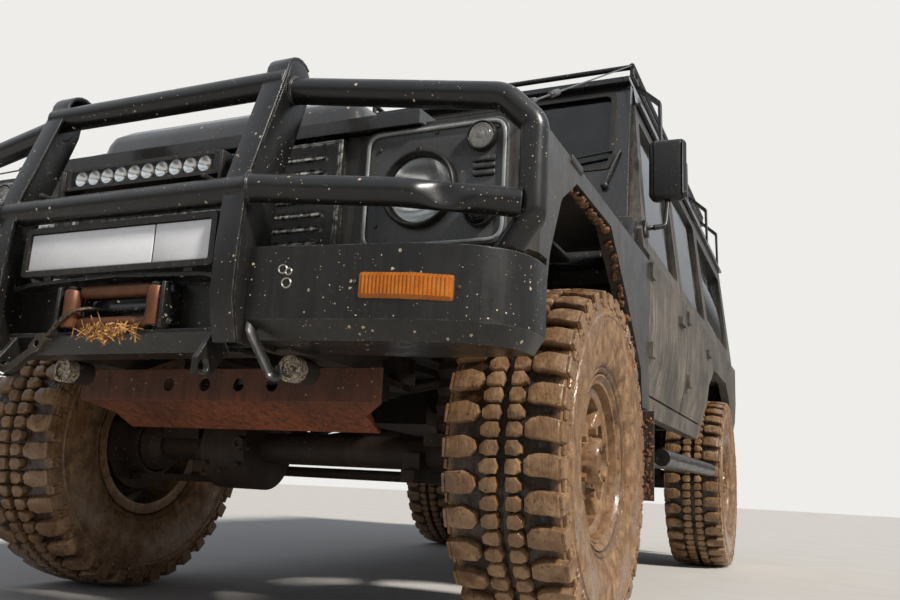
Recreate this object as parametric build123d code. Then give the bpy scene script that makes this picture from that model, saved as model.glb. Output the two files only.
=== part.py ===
# A lifted long-wheelbase off-road 4x4 with a boxy body, five doors and a working front end.
# Millimetres. It is laid out from the front axle: y runs from the nose (minus) to the tail (plus),
# x from the middle of the vehicle (plus is its own left side), and z up from the ground.
# At the end every piece moves back by half the overall length, so that the origin
# lies on the ground under the middle of the vehicle.

from build123d import *
import math
import os

# Running gear
WHEELBASE = 2794
WHEEL_X = 743
LUG_COUNT = 18
TYRE_R = 446.7
TREAD_ROOT_R = 426
SIDEWALL_R = 345
BEAD_R = 228
TYRE_HALF_W = 142
TREAD_HALF_W = 129
BEAD_HALF_W = 104
TREAD_SLOT_HALF_W = 11
RIM_SEAT_R = 203
RIM_WALL = 12
RIM_FLANGE_R = 222
RIM_FLANGE_W = 12
WHEEL_DISC_X = 45
WHEEL_DISC_T = 30
SPOKE_COUNT = 5
HUB_R = 62
HUB_NOSE_X = 124
AXLE_Z = TYRE_R * math.cos(math.pi / (2 * LUG_COUNT))
AXLE_TUBE_R = 45
KINGPIN_X = 600
BALL_R = 84
CUP_BORE_R = 88
CUP_R = 98
DIFF_X = -247
DIFF_R = 124
PINION_R = 55

# Steering linkage
ARM_INSET = 55
ARM_REACH = 200
ARM_T = 22
TRACK_ROD_R = 16
DRAG_LINK_R = 14
ROD_EYE_R = 23
ROD_EYE_H = 38
BALL_PIN_R = 9
BALL_PIN_H = 8
DROP_ARM_X = 290
DROP_ARM_Y = -60
COLUMN_TILT = 24
STEERING_WHEEL_R = 205

# Chassis
RAIL_IN_X = 310
RAIL_OUT_X = 385
RAIL_FRONT_Y = -730
RAIL_REAR_Y = 3600
SPRING_X = 455
SPRING_R = 65
SPRING_WIRE = 16
SPRING_TURNS = 6
PERCH_Z = 500
FRONT_TOWER_Z = 802
REAR_TOWER_Z = 792
TOWER_T = 16

# Body
WALL = 45
SKIN = 20
GAP = 8
SEAT_GAP = 0.3
SILL_Z = 640
DOOR_BOTTOM_Z = 712
WAIST_Z = 1184
BODY_X = 845
SHOULDER_X = 824
GUTTER_X = 752
GUTTER_Z = 1850
ROOF_Z = 2125
WING_REAR_Y = 700
B_PILLAR_Y = 1557
C_PILLAR_Y = 2432
BODY_REAR_Y = 3650
NOSE_PANEL_Y = -575
GRILLE_Y = -600
GRILLE_X = 386
WING_TOP_FRONT_Z = 1165
WING_INNER_X = 590
FLOOR_Z = 714
LOAD_FLOOR_Z = 862
SCREEN_BASE_Y = 689
SCREEN_BASE_Z = 1312
SCREEN_TOP_Y = 862
SCREEN_TOP_Z = 1885
SCREEN_BASE_X = 769
SCREEN_TOP_X = 740
SCREEN_T = 35
GLASS_T = 5
GLASS_INSET = 18

# Front protection
PLATE_T = 8
UPRIGHT_X = 352
UPRIGHT_FLANGE = 55
BULL_TUBE_R = 29
NOSE_Y = -890
BUMPER_TOP_Z = 811
BUMPER_LOW_Z = 628

# Accessories
RACK_X = 655
RACK_LOW_Z = 2172
RACK_TOP_Z = 2224
RACK_TUBE_R = 13
STEP_X = 860
STEP_Z = 492
STEP_R = 30
SPARE_X = 38
SPARE_Z = 1190
SPARE_STANDOFF = 22

SPARE_MID_Y = BODY_REAR_Y + SPARE_STANDOFF + TYRE_HALF_W
TAIL_Y = SPARE_MID_Y + TYRE_HALF_W
MIDDLE_Y = (NOSE_Y + TAIL_Y) / 2

# The body side's outer outline from sill to gutter, as (x, z)
SIDE_OUTLINE = [
    (800, SILL_Z),
    (812, DOOR_BOTTOM_Z),
    (838, 840),
    (BODY_X, 960),
    (BODY_X, WAIST_Z),
    (SHOULDER_X, 1215),
    (GUTTER_X, GUTTER_Z - SEAT_GAP),
]


def prism(points, direction, radius=0):
    """A closed outline of (x, y, z) points, its corners rounded if asked, pushed along a direction."""
    wire = FilletPolyline(*points, radius=radius, close=True) if radius else Polyline(*points, close=True)
    return Solid.extrude(Face(Wire(wire.edges())), Vector(*direction))


def prism_x(points, x0, x1, radius=0):
    """An outline of (y, z) points from x0 to x1."""
    return prism([(x0, y, z) for y, z in points], (x1 - x0, 0, 0), radius)


def prism_y(points, y0, y1, radius=0):
    """An outline of (x, z) points from y0 to y1."""
    return prism([(x, y0, z) for x, z in points], (0, y1 - y0, 0), radius)


def prism_z(points, z0, z1, radius=0):
    """An outline of (x, y) points from z0 to z1."""
    return prism([(x, y, z0) for x, y in points], (0, 0, z1 - z0), radius)


def block(x0, x1, y0, y1, z0, z1):
    """A box between two corners."""
    return prism_z([(x0, y0), (x1, y0), (x1, y1), (x0, y1)], z0, z1)


def rod(start, end, radius):
    """A round bar from one point to another."""
    start, end = Vector(*start), Vector(*end)
    along = end - start
    return extrude(Plane(start, z_dir=along) * Circle(radius), amount=along.length)


def tube_path(points, bend, radius):
    """A round tube along straight runs joined by arcs."""
    path = FilletPolyline(*points, radius=bend)
    start = Plane(Vector(*points[0]), z_dir=Vector(*points[1]) - Vector(*points[0]))
    return sweep(start * Circle(radius), path=path)


def stack(sections):
    """A ruled loft through outlines of (x, y) points, each at its own height."""
    wires = [Wire(Polyline(*[(x, y, z) for x, y in points], close=True).edges()) for z, points in sections]
    return Solid.make_loft(wires, ruled=True)


def ring_points(count, radius, x, y, z, turn=0.0):
    """The corners of a regular polygon about an axis along X."""
    step = 2 * math.pi / count
    return [(x, y + radius * math.sin(k * step + turn), z + radius * math.cos(k * step + turn)) for k in range(count)]


def wheel_loft(sections, count, turn=0.0):
    """A faceted round body about the X axis, from (x, radius) sections."""
    wires = [Wire(Polyline(*ring_points(count, r, x, 0, 0, turn), close=True).edges()) for x, r in sections]
    return Solid.make_loft(wires, ruled=True)


def mirrored(shape):
    """The same piece on the other side of the vehicle."""
    return mirror(shape, about=Plane.YZ)


def joined(*pieces):
    """Pieces fused where they meet."""
    whole = pieces[0]
    for piece in pieces[1:]:
        whole = whole + piece
    return whole


def both_sides(shape):
    """A piece and its mirror image, as solids that don't touch."""
    return Compound(children=[*solids_of(shape), *solids_of(mirrored(shape))])


def solids_of(shape):
    return list(shape.solids())


def group(*shapes):
    """Separate pieces in one node."""
    return Compound(children=[solid for shape in shapes for solid in solids_of(shape)])


def side_x(z):
    """How far out the body side's skin lies at a height."""
    for (x0, z0), (x1, z1) in zip(SIDE_OUTLINE, SIDE_OUTLINE[1:]):
        if z <= z1:
            return x0 + (x1 - x0) * (z - z0) / (z1 - z0)
    return SIDE_OUTLINE[-1][0]


def side_band(depth_out, depth_in, y0, y1):
    """A strip of the body side between two depths below its skin."""
    outer = [(x - depth_out, z) for x, z in SIDE_OUTLINE]
    inner = [(x - depth_in, z) for x, z in reversed(SIDE_OUTLINE)]
    return prism_y(outer + inner, y0, y1)


def screen_y(z):
    """Where the front face of the windscreen frame lies at a height."""
    slope = (SCREEN_TOP_Y - SCREEN_BASE_Y) / (SCREEN_TOP_Z - SCREEN_BASE_Z)
    return SCREEN_BASE_Y + (z - SCREEN_BASE_Z) * slope


# Wheels


def tread_band(x0, x1, turn):
    """Half of the tread: a ring whose outline steps up to each lug."""
    half = math.pi / (2 * LUG_COUNT)
    corners = []
    for k in range(LUG_COUNT):
        middle = 2 * math.pi * k / LUG_COUNT + turn
        for angle, radius in ((-half, TYRE_R), (half, TYRE_R), (half, TREAD_ROOT_R), (3 * half, TREAD_ROOT_R)):
            corners.append((x0, radius * math.sin(middle + angle), radius * math.cos(middle + angle)))
    inside = TREAD_ROOT_R - 24
    hole = wheel_loft([(x0 - 1, inside), (x1 + 1, inside)], 2 * LUG_COUNT, half)
    return prism(corners, (x1 - x0, 0, 0)) - hole


def tyre():
    """A mud tyre about the X axis: two rows of staggered lugs on one carcass."""
    sides = 2 * LUG_COUNT
    half = math.pi / (2 * LUG_COUNT)
    carcass = wheel_loft(
        [
            (-BEAD_HALF_W, BEAD_R),
            (-TYRE_HALF_W, SIDEWALL_R),
            (-TREAD_HALF_W, TREAD_ROOT_R),
            (TREAD_HALF_W, TREAD_ROOT_R),
            (TYRE_HALF_W, SIDEWALL_R),
            (BEAD_HALF_W, BEAD_R),
        ],
        sides,
        half,
    )
    bore = wheel_loft([(-TYRE_HALF_W, RIM_SEAT_R + SEAT_GAP), (TYRE_HALF_W, RIM_SEAT_R + SEAT_GAP)], sides, half)
    outer = tread_band(TREAD_SLOT_HALF_W, TREAD_HALF_W, 0)
    inner = tread_band(-TREAD_HALF_W, -TREAD_SLOT_HALF_W, 2 * half)
    return carcass + outer + inner - bore


def rim():
    """An alloy wheel about the X axis, with wide spokes and a hub that stands out; plus x faces outwards."""
    sides = 2 * LUG_COUNT
    half = math.pi / (2 * LUG_COUNT)
    seat_half = BEAD_HALF_W + SEAT_GAP
    flange_half = seat_half + RIM_FLANGE_W
    inside_r = RIM_SEAT_R - RIM_WALL
    barrel = wheel_loft([(-flange_half, RIM_SEAT_R), (flange_half, RIM_SEAT_R)], sides, half)
    for side in (-1, 1):
        barrel = barrel + wheel_loft([(side * seat_half, RIM_FLANGE_R), (side * flange_half, RIM_FLANGE_R)], sides, half)
    barrel = barrel - wheel_loft([(-flange_half, inside_r), (flange_half, inside_r)], sides, half)
    disc = wheel_loft([(WHEEL_DISC_X, inside_r + 2), (WHEEL_DISC_X + WHEEL_DISC_T, inside_r + 2)], sides, half)
    hub = rod((WHEEL_DISC_X, 0, 0), (HUB_NOSE_X, 0, 0), HUB_R)
    window_reach = math.radians(17)
    for k in range(SPOKE_COUNT):
        middle = 2 * math.pi * (k + 0.5) / SPOKE_COUNT
        corners = [
            (WHEEL_DISC_X - 5, r * math.sin(middle + a), r * math.cos(middle + a))
            for r, a in ((95, -0.24), (172, -window_reach), (172, window_reach), (95, 0.24))
        ]
        disc = disc - prism(corners, (WHEEL_DISC_T + 10, 0, 0), 12)
    return barrel + disc + hub


# Axles, springs and steering

LINK_X = 354
LINK_TOP_Z = AXLE_Z - AXLE_TUBE_R - 1
DAMPER_FOOT_Z = PERCH_Z


def axle_housing(half_length, nose_side):
    """An axle tube with its offset differential; the pinion points along plus or minus y."""
    tube = rod((-half_length, 0, AXLE_Z), (half_length, 0, AXLE_Z), AXLE_TUBE_R)
    half_w = 78
    body = rod((DIFF_X - half_w, 0, AXLE_Z), (DIFF_X + half_w, 0, AXLE_Z), DIFF_R)
    nose = rod((DIFF_X, 0, AXLE_Z + 20), (DIFF_X, nose_side * 290, AXLE_Z + 20), PINION_R)
    perches = [block(s * SPRING_X - 70, s * SPRING_X + 70, -70, 70, AXLE_Z + 20, PERCH_Z) for s in (-1, 1)]
    return joined(tube, body, nose, *perches)


def front_axle():
    """The front axle, with the fixed half of each swivel: a ball on the axle's end."""
    axle = axle_housing(KINGPIN_X - 40, 1)
    for s in (-1, 1):
        ball = [(-58, 58), (-30, 78), (0, BALL_R), (25, 79), (50, 62)]
        sections = [(s * dx, r) for dx, r in ball]
        if s < 0:
            sections.reverse()
        axle = axle + Pos(s * KINGPIN_X, 0, AXLE_Z) * wheel_loft(sections, 20)
    bracket = block(CROSS_ROD_X0 - 38, CROSS_ROD_X0 - 4, 20, CROSS_ROD_Y + 20, AXLE_Z + 18, AXLE_Z + 120)
    ears = [block(s * LINK_X - 26, s * LINK_X + 26, -80, 80, LINK_TOP_Z + SEAT_GAP, AXLE_Z) for s in (-1, 1)]
    feet = [block(s * 498, s * 546, 20, 104, AXLE_Z - 10, DAMPER_FOOT_Z) for s in (-1, 1)]
    return joined(axle, bracket, *ears, *feet)


def brake_and_stub(x0):
    """Brake disc, caliper and hub flange on plus x, out to the wheel disc's inner face."""
    end_x = WHEEL_X + WHEEL_DISC_X - SEAT_GAP
    stub = rod((x0, 0, AXLE_Z), (end_x, 0, AXLE_Z), 48)
    disc = rod((WHEEL_X - 75, 0, AXLE_Z), (WHEEL_X - 50, 0, AXLE_Z), 145)
    flange = rod((end_x - 18, 0, AXLE_Z), (end_x, 0, AXLE_Z), 75)
    caliper = block(WHEEL_X - 95, WHEEL_X - 30, -165, -95, AXLE_Z - 60, AXLE_Z + 60)
    return joined(stub, disc, flange, caliper)


def knuckle(with_front_arm):
    """The left steering knuckle: a cup round the axle's ball, the stub, and the steering arms."""
    cup = rod((KINGPIN_X, 0, AXLE_Z), (KINGPIN_X + 92, 0, AXLE_Z), CUP_R)
    bore = rod((KINGPIN_X - 30, 0, AXLE_Z), (KINGPIN_X + 82, 0, AXLE_Z), CUP_BORE_R)
    low_z = AXLE_Z - CUP_R
    eye_x = KINGPIN_X - ARM_INSET
    arm = arm_plate(low_z - ARM_T + 6, low_z + 6, 1)
    pin = rod((eye_x, ARM_REACH, low_z), (eye_x, ARM_REACH, low_z + 6 + BALL_PIN_H), BALL_PIN_R)
    whole = joined(cup, brake_and_stub(KINGPIN_X + 84), arm, pin)
    if with_front_arm:
        top_z = AXLE_Z + CUP_R
        front = arm_plate(top_z - 6, top_z - 6 + ARM_T, -1)
        front_pin_z = top_z - 6 + ARM_T
        front_pin = rod((eye_x, -ARM_REACH, front_pin_z - 2), (eye_x, -ARM_REACH, front_pin_z + BALL_PIN_H), BALL_PIN_R)
        whole = joined(whole, front, front_pin)
    return whole - bore


def arm_plate(z0, z1, side):
    """A steering arm in plan, from the cup to its ball pin."""
    eye_x = KINGPIN_X - ARM_INSET
    points = [
        (KINGPIN_X + 10, -side * 45),
        (KINGPIN_X + 60, -side * 45),
        (KINGPIN_X + 60, side * 60),
        (eye_x + 24, side * (ARM_REACH + 22)),
        (eye_x - 24, side * (ARM_REACH + 22)),
        (KINGPIN_X + 10, side * 60),
    ]
    return prism_z(points, z0, z1)


TRACK_ROD_Z = AXLE_Z - CUP_R + 6 + BALL_PIN_H + SEAT_GAP + ROD_EYE_H / 2
DRAG_LINK_Z = AXLE_Z + CUP_R - 6 + ARM_T + BALL_PIN_H + SEAT_GAP + ROD_EYE_H / 2
DROP_ARM_Z = DRAG_LINK_Z + ROD_EYE_H / 2 + SEAT_GAP + BALL_PIN_H


def link_rod(start, end, radius):
    """A steering rod with a ball joint's eye at each end."""
    eyes = []
    for x, y, z in (start, end):
        eyes.append(rod((x, y, z - ROD_EYE_H / 2), (x, y, z + ROD_EYE_H / 2), ROD_EYE_R))
    return joined(rod(start, end, radius), *eyes)


def track_rod():
    eye_x = KINGPIN_X - ARM_INSET
    return link_rod((-eye_x, ARM_REACH, TRACK_ROD_Z), (eye_x, ARM_REACH, TRACK_ROD_Z), TRACK_ROD_R)


def drag_link():
    eye_x = KINGPIN_X - ARM_INSET
    start = (-eye_x, -ARM_REACH, DRAG_LINK_Z)
    end = (DROP_ARM_X + ARM_INSET, DROP_ARM_Y - ARM_REACH, DRAG_LINK_Z)
    return link_rod(start, end, DRAG_LINK_R)


def drop_arm():
    """The steering box's arm, parallel to the knuckle's front arm."""
    ball_x, ball_y = DROP_ARM_X + ARM_INSET, DROP_ARM_Y - ARM_REACH
    plate = prism_z(
        [
            (DROP_ARM_X - 26, DROP_ARM_Y + 26),
            (DROP_ARM_X - 26, DROP_ARM_Y - 20),
            (ball_x - 20, ball_y - 18),
            (ball_x + 20, ball_y - 18),
            (DROP_ARM_X + 26, DROP_ARM_Y - 20),
            (DROP_ARM_X + 26, DROP_ARM_Y + 26),
        ],
        DROP_ARM_Z,
        DROP_ARM_Z + 18,
    )
    pin = rod((ball_x, ball_y, DROP_ARM_Z - BALL_PIN_H), (ball_x, ball_y, DROP_ARM_Z + 2), BALL_PIN_R)
    return plate + pin


def coil_spring(x, y, z0, z1):
    """A coil as a ribbed sleeve: one ridge for each turn of the wire."""
    pitch = (z1 - z0) / SPRING_TURNS
    outline = [(x + SPRING_R - SPRING_WIRE, y, z0)]
    for k in range(SPRING_TURNS):
        base = z0 + k * pitch
        outline.append((x + SPRING_R - SPRING_WIRE / 2, y, base))
        outline.append((x + SPRING_R, y, base + pitch / 2))
    outline.append((x + SPRING_R - SPRING_WIRE / 2, y, z1))
    outline.append((x + SPRING_R - SPRING_WIRE, y, z1))
    face = Face(Wire(Polyline(*outline, close=True).edges()))
    return Solid.revolve(face, 360, Axis((x, y, 0), (0, 0, 1)))


FRONT_DAMPER_X = 524
REAR_RAIL_LOW_Z = 732
CROSS_ROD_X0 = -346
CROSS_ROD_Y = 119
CROSS_ROD_X1 = 368


def suspension():
    """Coil springs, dampers, links and the front cross rod, each resting on its seat."""
    pieces = []
    for s in (-1, 1):
        pieces.append(coil_spring(s * SPRING_X, 0, PERCH_Z + SEAT_GAP, FRONT_TOWER_Z - SEAT_GAP))
        pieces.append(coil_spring(s * SPRING_X, WHEELBASE, PERCH_Z + SEAT_GAP, REAR_TOWER_Z - SEAT_GAP))
        arm = [
            (-95, LINK_TOP_Z - 33), (98, LINK_TOP_Z - 33), (128, LINK_TOP_Z + 11), (840, 510),
            (840, 556), (118, LINK_TOP_Z + 53), (88, LINK_TOP_Z), (-95, LINK_TOP_Z),
        ]
        pieces.append(prism_x(arm, s * LINK_X - 20, s * LINK_X + 20))
        trail = [(WHEELBASE - 62, LINK_TOP_Z - 26), (1980, 520), (1980, 566), (WHEELBASE - 62, LINK_TOP_Z + 20)]
        pieces.append(prism_x(trail, s * LINK_X - 20, s * LINK_X + 20))
        front = damper((s * FRONT_DAMPER_X, 75, AXLE_Z), (s * 505, 75, FRONT_TOWER_Z + 40))
        front = front & block(s * 400, s * 600, 0, 150, DAMPER_FOOT_Z + SEAT_GAP, FRONT_TOWER_Z - SEAT_GAP)
        rear = damper((s * 420, WHEELBASE + 80, AXLE_Z), (s * 345, WHEELBASE + 190, 780))
        rear = rear & block(s * 300, s * 500, WHEELBASE, WHEELBASE + 300, DAMPER_FOOT_Z + SEAT_GAP, REAR_RAIL_LOW_Z - SEAT_GAP)
        pieces.extend([front, rear])
    start = (CROSS_ROD_X0 + 6, CROSS_ROD_Y, AXLE_Z + 92)
    pieces.append(rod(start, (CROSS_ROD_X1, CROSS_ROD_Y, 668), 17))
    return group(*pieces)


def damper(low, high):
    """A damper: a fat lower tube and a thin rod."""
    low, high = Vector(*low), Vector(*high)
    middle = low + (high - low) * 0.55
    return joined(rod(low, middle, 27), rod(middle, high, 14))


def rear_axle():
    """The live rear axle with its brakes, out to both wheels."""
    end_x = WHEEL_X - 70
    axle = axle_housing(end_x, -1)
    brake = brake_and_stub(end_x - 10)
    ears = [block(s * LINK_X - 26, s * LINK_X + 26, -62 + SEAT_GAP, 0, LINK_TOP_Z - 26, AXLE_Z) for s in (-1, 1)]
    damper_feet = [block(s * 420 - 26, s * 420 + 26, 20, 122, AXLE_Z - 10, DAMPER_FOOT_Z) for s in (-1, 1)]
    return Pos(0, WHEELBASE, 0) * joined(axle, brake, mirrored(brake), *ears, *damper_feet)


# Chassis and drivetrain


JACKING_X = 335
JACKING_Z = 594.5
JACKING_R = 28
JACKING_BORE_R = 19


def chassis_frame():
    """Two box rails that rise over each axle, cross members, spring towers and the steering box."""
    top = [
        (RAIL_FRONT_Y, 742), (-420, 742), (-250, 832), (300, 832), (560, 700),
        (2290, 700), (2480, 850), (3150, 850), (3380, 800), (RAIL_REAR_Y, 800),
    ]
    low = [
        (RAIL_REAR_Y, 682), (3340, 682), (3120, 732), (2500, 732), (2310, 572),
        (560, 572), (300, 702), (-230, 702), (-420, 622), (RAIL_FRONT_Y, 622),
    ]
    rails = [prism_x(top + low, s * RAIL_IN_X, s * RAIL_OUT_X) for s in (-1, 1)]
    in_x = RAIL_IN_X + 5
    members = [
        block(-in_x, in_x, -655, -600, 650, 730),
        block(-in_x, in_x, 1400, 1470, 610, 690),
        block(-in_x, in_x, 2190, 2260, 610, 690),
        block(-in_x, in_x, 3080, 3150, 750, 840),
        block(-752, 752, RAIL_REAR_Y, BODY_REAR_Y + 12, 655, 792),
    ]
    towers = []
    outriggers = []
    for s in (-1, 1):
        for y, z in ((0, FRONT_TOWER_Z), (WHEELBASE, REAR_TOWER_Z)):
            edge = s * (SPRING_X + 78)
            towers.append(block(s * (RAIL_OUT_X - 5), edge, y - 78, y + 78, z, z + TOWER_T))
        for y in (750, 1600):
            outriggers.append(block(s * (RAIL_OUT_X - 5), s * 752, y - 30, y + 30, 640, 700))
        outriggers.append(block(s * (RAIL_OUT_X - 5), s * 545, 2290, 2350, 660, 740))
        outriggers.append(block(s * (LINK_X - 26), s * (LINK_X + 26), 840.3, 880, 505, 600))
        outriggers.append(block(s * (LINK_X - 26), s * (LINK_X + 26), 1940, 1979.7, 510, 600))
    box_z = DROP_ARM_Z + 18 + SEAT_GAP
    steering_box = rod((DROP_ARM_X, DROP_ARM_Y, box_z), (DROP_ARM_X, DROP_ARM_Y, 800), 48)
    rod_bracket = block(CROSS_ROD_X1 + 4, RAIL_OUT_X - 2, CROSS_ROD_Y - 20, CROSS_ROD_Y + 20, 645, 706)
    jacking_tube = rod((JACKING_X, -655, JACKING_Z), (JACKING_X, -575, JACKING_Z), JACKING_R)
    jacking_tube = jacking_tube - rod((JACKING_X, -660, JACKING_Z), (JACKING_X, -570, JACKING_Z), JACKING_BORE_R)
    jacking_tubes = [jacking_tube, mirrored(jacking_tube)]
    return joined(*rails, *members, *towers, *outriggers, steering_box, rod_bracket, *jacking_tubes)


def drivetrain():
    """Engine, radiator, gearbox and transfer box as plain masses, with both propeller shafts."""
    engine = block(-200, 200, -190, 449, 712, 1090) + block(-120, 60, -150, 400, 640, 713)
    mount_half = RAIL_IN_X - SEAT_GAP
    engine = engine + block(-mount_half, mount_half, 60, 110, 722, 760)
    radiator = block(-295, 295, -500, -440, 745, 1120) + block(-mount_half, mount_half, -490, -450, 722, 752)
    gearbox = prism_x([(450, 700), (450, 560), (1300, 540), (1300, 690)], -140, 140)
    transfer = block(DIFF_X - 60, -100, 960, 1290, 500, 680)
    front_shaft = rod((DIFF_X, 295, AXLE_Z + 20), (DIFF_X, 956, 545), 30)
    rear_shaft = rod((DIFF_X, 1293, 545), (DIFF_X, WHEELBASE - 293, AXLE_Z + 20), 33)
    return group(engine, radiator, gearbox + transfer, front_shaft, rear_shaft)


def tank_and_exhaust():
    """The fuel tank between the rear rails and the exhaust with its silencer."""
    tank = prism_x([(3190, 560), (3190, 740), (3570, 790), (3570, 560)], -295, 190)
    flange_half = RAIL_IN_X - SEAT_GAP
    flange = block(-flange_half, flange_half, 3210, 3560, 692, 698)
    hanger = block(229, 241, 2200, 2250, 575, 610 - SEAT_GAP)
    route = [
        (175, 452, 620), (215, 700, 560), (235, 1300, 560), (235, 2380, 560),
        (235, 2560, 650), (235, 3010, 650), (440, 3300, 630), (460, 3590, 600),
    ]
    pipe = tube_path(route, 60, 24)
    silencer = rod((235, 1530, 560), (235, 1990, 560), 68)
    return group(tank + flange, joined(pipe, silencer, hanger))


# Body


def front_arch():
    """The wheel arch's cut in the wing, as (y, z)."""
    return [
        (-470, 500), (-470, 745), (-440, 880), (-360, 1030), (-232, 1112),
        (130, 1112), (351, 945), (560, 765), (600, 600), (600, 500),
    ]


def rear_arch():
    """The wheel arch's cut in the rear quarter, as (y, z)."""
    half = [(-620, 500), (-600, 660), (-480, 925), (-280, 1028)]
    ahead = [(WHEELBASE + dy, z) for dy, z in half]
    behind = [(WHEELBASE - dy, z) for dy, z in reversed(half)]
    return ahead + behind


def wing_panels():
    """One front wing: side skin, top, nose panel and inner panel, open below."""
    x_in = BODY_X - WALL + 5
    nose_r = 60
    plan = [
        (x_in - 4, WING_REAR_Y),
        (BODY_X, WING_REAR_Y),
        (BODY_X, NOSE_PANEL_Y + nose_r),
        (BODY_X - 18, NOSE_PANEL_Y + 18),
        (BODY_X - nose_r, NOSE_PANEL_Y),
        (GRILLE_X + 4, NOSE_PANEL_Y),
        (GRILLE_X + 4, NOSE_PANEL_Y + SKIN),
        (BODY_X - nose_r - 8, NOSE_PANEL_Y + SKIN),
        (x_in - 4, NOSE_PANEL_Y + nose_r),
    ]
    skirt = prism_z(plan, SILL_Z, WAIST_Z)
    roof = prism_z(
        [
            (WING_INNER_X, NOSE_PANEL_Y + 2),
            (BODY_X - nose_r, NOSE_PANEL_Y),
            (BODY_X - 18, NOSE_PANEL_Y + 18),
            (BODY_X, NOSE_PANEL_Y + nose_r),
            (BODY_X, 552),
            (WING_INNER_X, 552),
        ],
        WING_TOP_FRONT_Z - 30,
        WAIST_Z,
    )
    slope_top = [
        (NOSE_PANEL_Y - 50, WING_TOP_FRONT_Z - 4),
        (-300, WING_TOP_FRONT_Z + 18),
        (560, WAIST_Z),
        (WING_REAR_Y + 5, WAIST_Z),
        (WING_REAR_Y + 5, WAIST_Z + 60),
        (NOSE_PANEL_Y - 50, WAIST_Z + 60),
    ]
    under = [(y, z - SKIN) for y, z in slope_top[:3]] + [(560, WING_TOP_FRONT_Z - 60), (NOSE_PANEL_Y - 50, WING_TOP_FRONT_Z - 60)]
    roof = roof - prism_x(under, WING_INNER_X - 5, BODY_X + 5)
    whole = (skirt + roof) - prism_x(slope_top, GRILLE_X - 5, BODY_X + 5)
    whole = whole - prism_x(front_arch(), BODY_X - 80, BODY_X + 20)
    low_front = block(GRILLE_X - 5, BODY_X + 5, NOSE_PANEL_Y - 20, -460, SILL_Z - 5, 858)
    bonnet_room = block(GRILLE_X - 5, WING_INNER_X - 1, NOSE_PANEL_Y - 20, NOSE_PANEL_Y + 60, 1149, 1200)
    whole = whole - low_front - bonnet_room
    edge_cut = prism_y([(BODY_X - 26, WAIST_Z + 2), (BODY_X + 5, WAIST_Z + 2), (BODY_X + 5, WAIST_Z - 30)], -600, 705)
    lamp = rod((LAMP_X, NOSE_PANEL_Y - 20, LAMP_Z), (LAMP_X, NOSE_PANEL_Y + 40, LAMP_Z), LAMP_R + 4)
    inner = block(472, 484, NOSE_PANEL_Y + SKIN - 1, 550, 832, WING_TOP_FRONT_Z - 36)
    shelf = block(470, WING_INNER_X + 12, NOSE_PANEL_Y + SKIN - 1, 550, WING_TOP_FRONT_Z - 36, WING_TOP_FRONT_Z - 24)
    return whole - edge_cut - lamp + inner + shelf


LAMP_X = 587
LAMP_Z = 1000
LAMP_R = 90
SURROUND = [(444, 866), (792, 866), (792, 1150), (444, 1148)]
SURROUND_RIM = 8


def front_panel():
    """The cross panel that joins the wings behind the grille."""
    top = block(-GRILLE_X - 6, GRILLE_X + 6, NOSE_PANEL_Y, NOSE_PANEL_Y + 30, 1120, 1140)
    low = block(-GRILLE_X - 6, GRILLE_X + 6, NOSE_PANEL_Y, NOSE_PANEL_Y + 30, 750, 872)
    sides = [block(s * (GRILLE_X - 6), s * (GRILLE_X + 10), NOSE_PANEL_Y, NOSE_PANEL_Y + 30, 750, 1140) for s in (-1, 1)]
    return joined(top, low, *sides)


def wings():
    left = wing_panels()
    return joined(front_panel(), left, mirrored(left))


def grille():
    """A frame of horizontal slats in front of the radiator."""
    z0, z1 = 870, 1140
    front, back = GRILLE_Y, NOSE_PANEL_Y - SEAT_GAP
    frame = block(-GRILLE_X, GRILLE_X, front, back, z0, z1)
    frame = frame - block(-GRILLE_X + 14, GRILLE_X - 14, front - 1, back + 1, z0 + 12, z1 - 12)
    slats = 8
    pitch = (z1 - z0 - 24) / slats
    bars = []
    for k in range(slats):
        z = z0 + 12 + pitch * k
        profile = [(front + 4, z + 2), (back - 1, z + 16), (back - 1, z + 21), (front + 2, z + 9)]
        bars.append(prism_x(profile, -GRILLE_X + 12, GRILLE_X - 12))
    posts = [block(x - 4, x + 4, back - 6, back - 1, z0 + 6, z1 - 6) for x in (-190, 0, 190)]
    return joined(frame, *bars, *posts)


def lamp_surrounds():
    """The moulded panel round each headlamp."""
    plate = prism_y(SURROUND, NOSE_PANEL_Y - 10, NOSE_PANEL_Y - SEAT_GAP, 30)
    hole = rod((LAMP_X, NOSE_PANEL_Y - 20, LAMP_Z), (LAMP_X, NOSE_PANEL_Y + 5, LAMP_Z), LAMP_R + SEAT_GAP)
    recess = prism_y(shrunk(SURROUND, SURROUND_RIM), NOSE_PANEL_Y - 11, NOSE_PANEL_Y - 6, 22)
    vents = []
    for z in (1052, 1036, 1020):
        vents.append(block(716, 760, NOSE_PANEL_Y - 12, NOSE_PANEL_Y, z - 4, z + 4))
    return both_sides(joined(plate - recess) - hole - vents[0] - vents[1] - vents[2])


def headlamps():
    """A round lamp with its chrome ring, in front of its bowl."""
    ring_y = NOSE_PANEL_Y - 14
    ring = rod((LAMP_X, ring_y, LAMP_Z), (LAMP_X, NOSE_PANEL_Y + 30, LAMP_Z), LAMP_R)
    bowl = rod((LAMP_X, NOSE_PANEL_Y + 30, LAMP_Z), (LAMP_X, NOSE_PANEL_Y + 70, LAMP_Z), LAMP_R - 25)
    return both_sides(ring + bowl)


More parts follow.
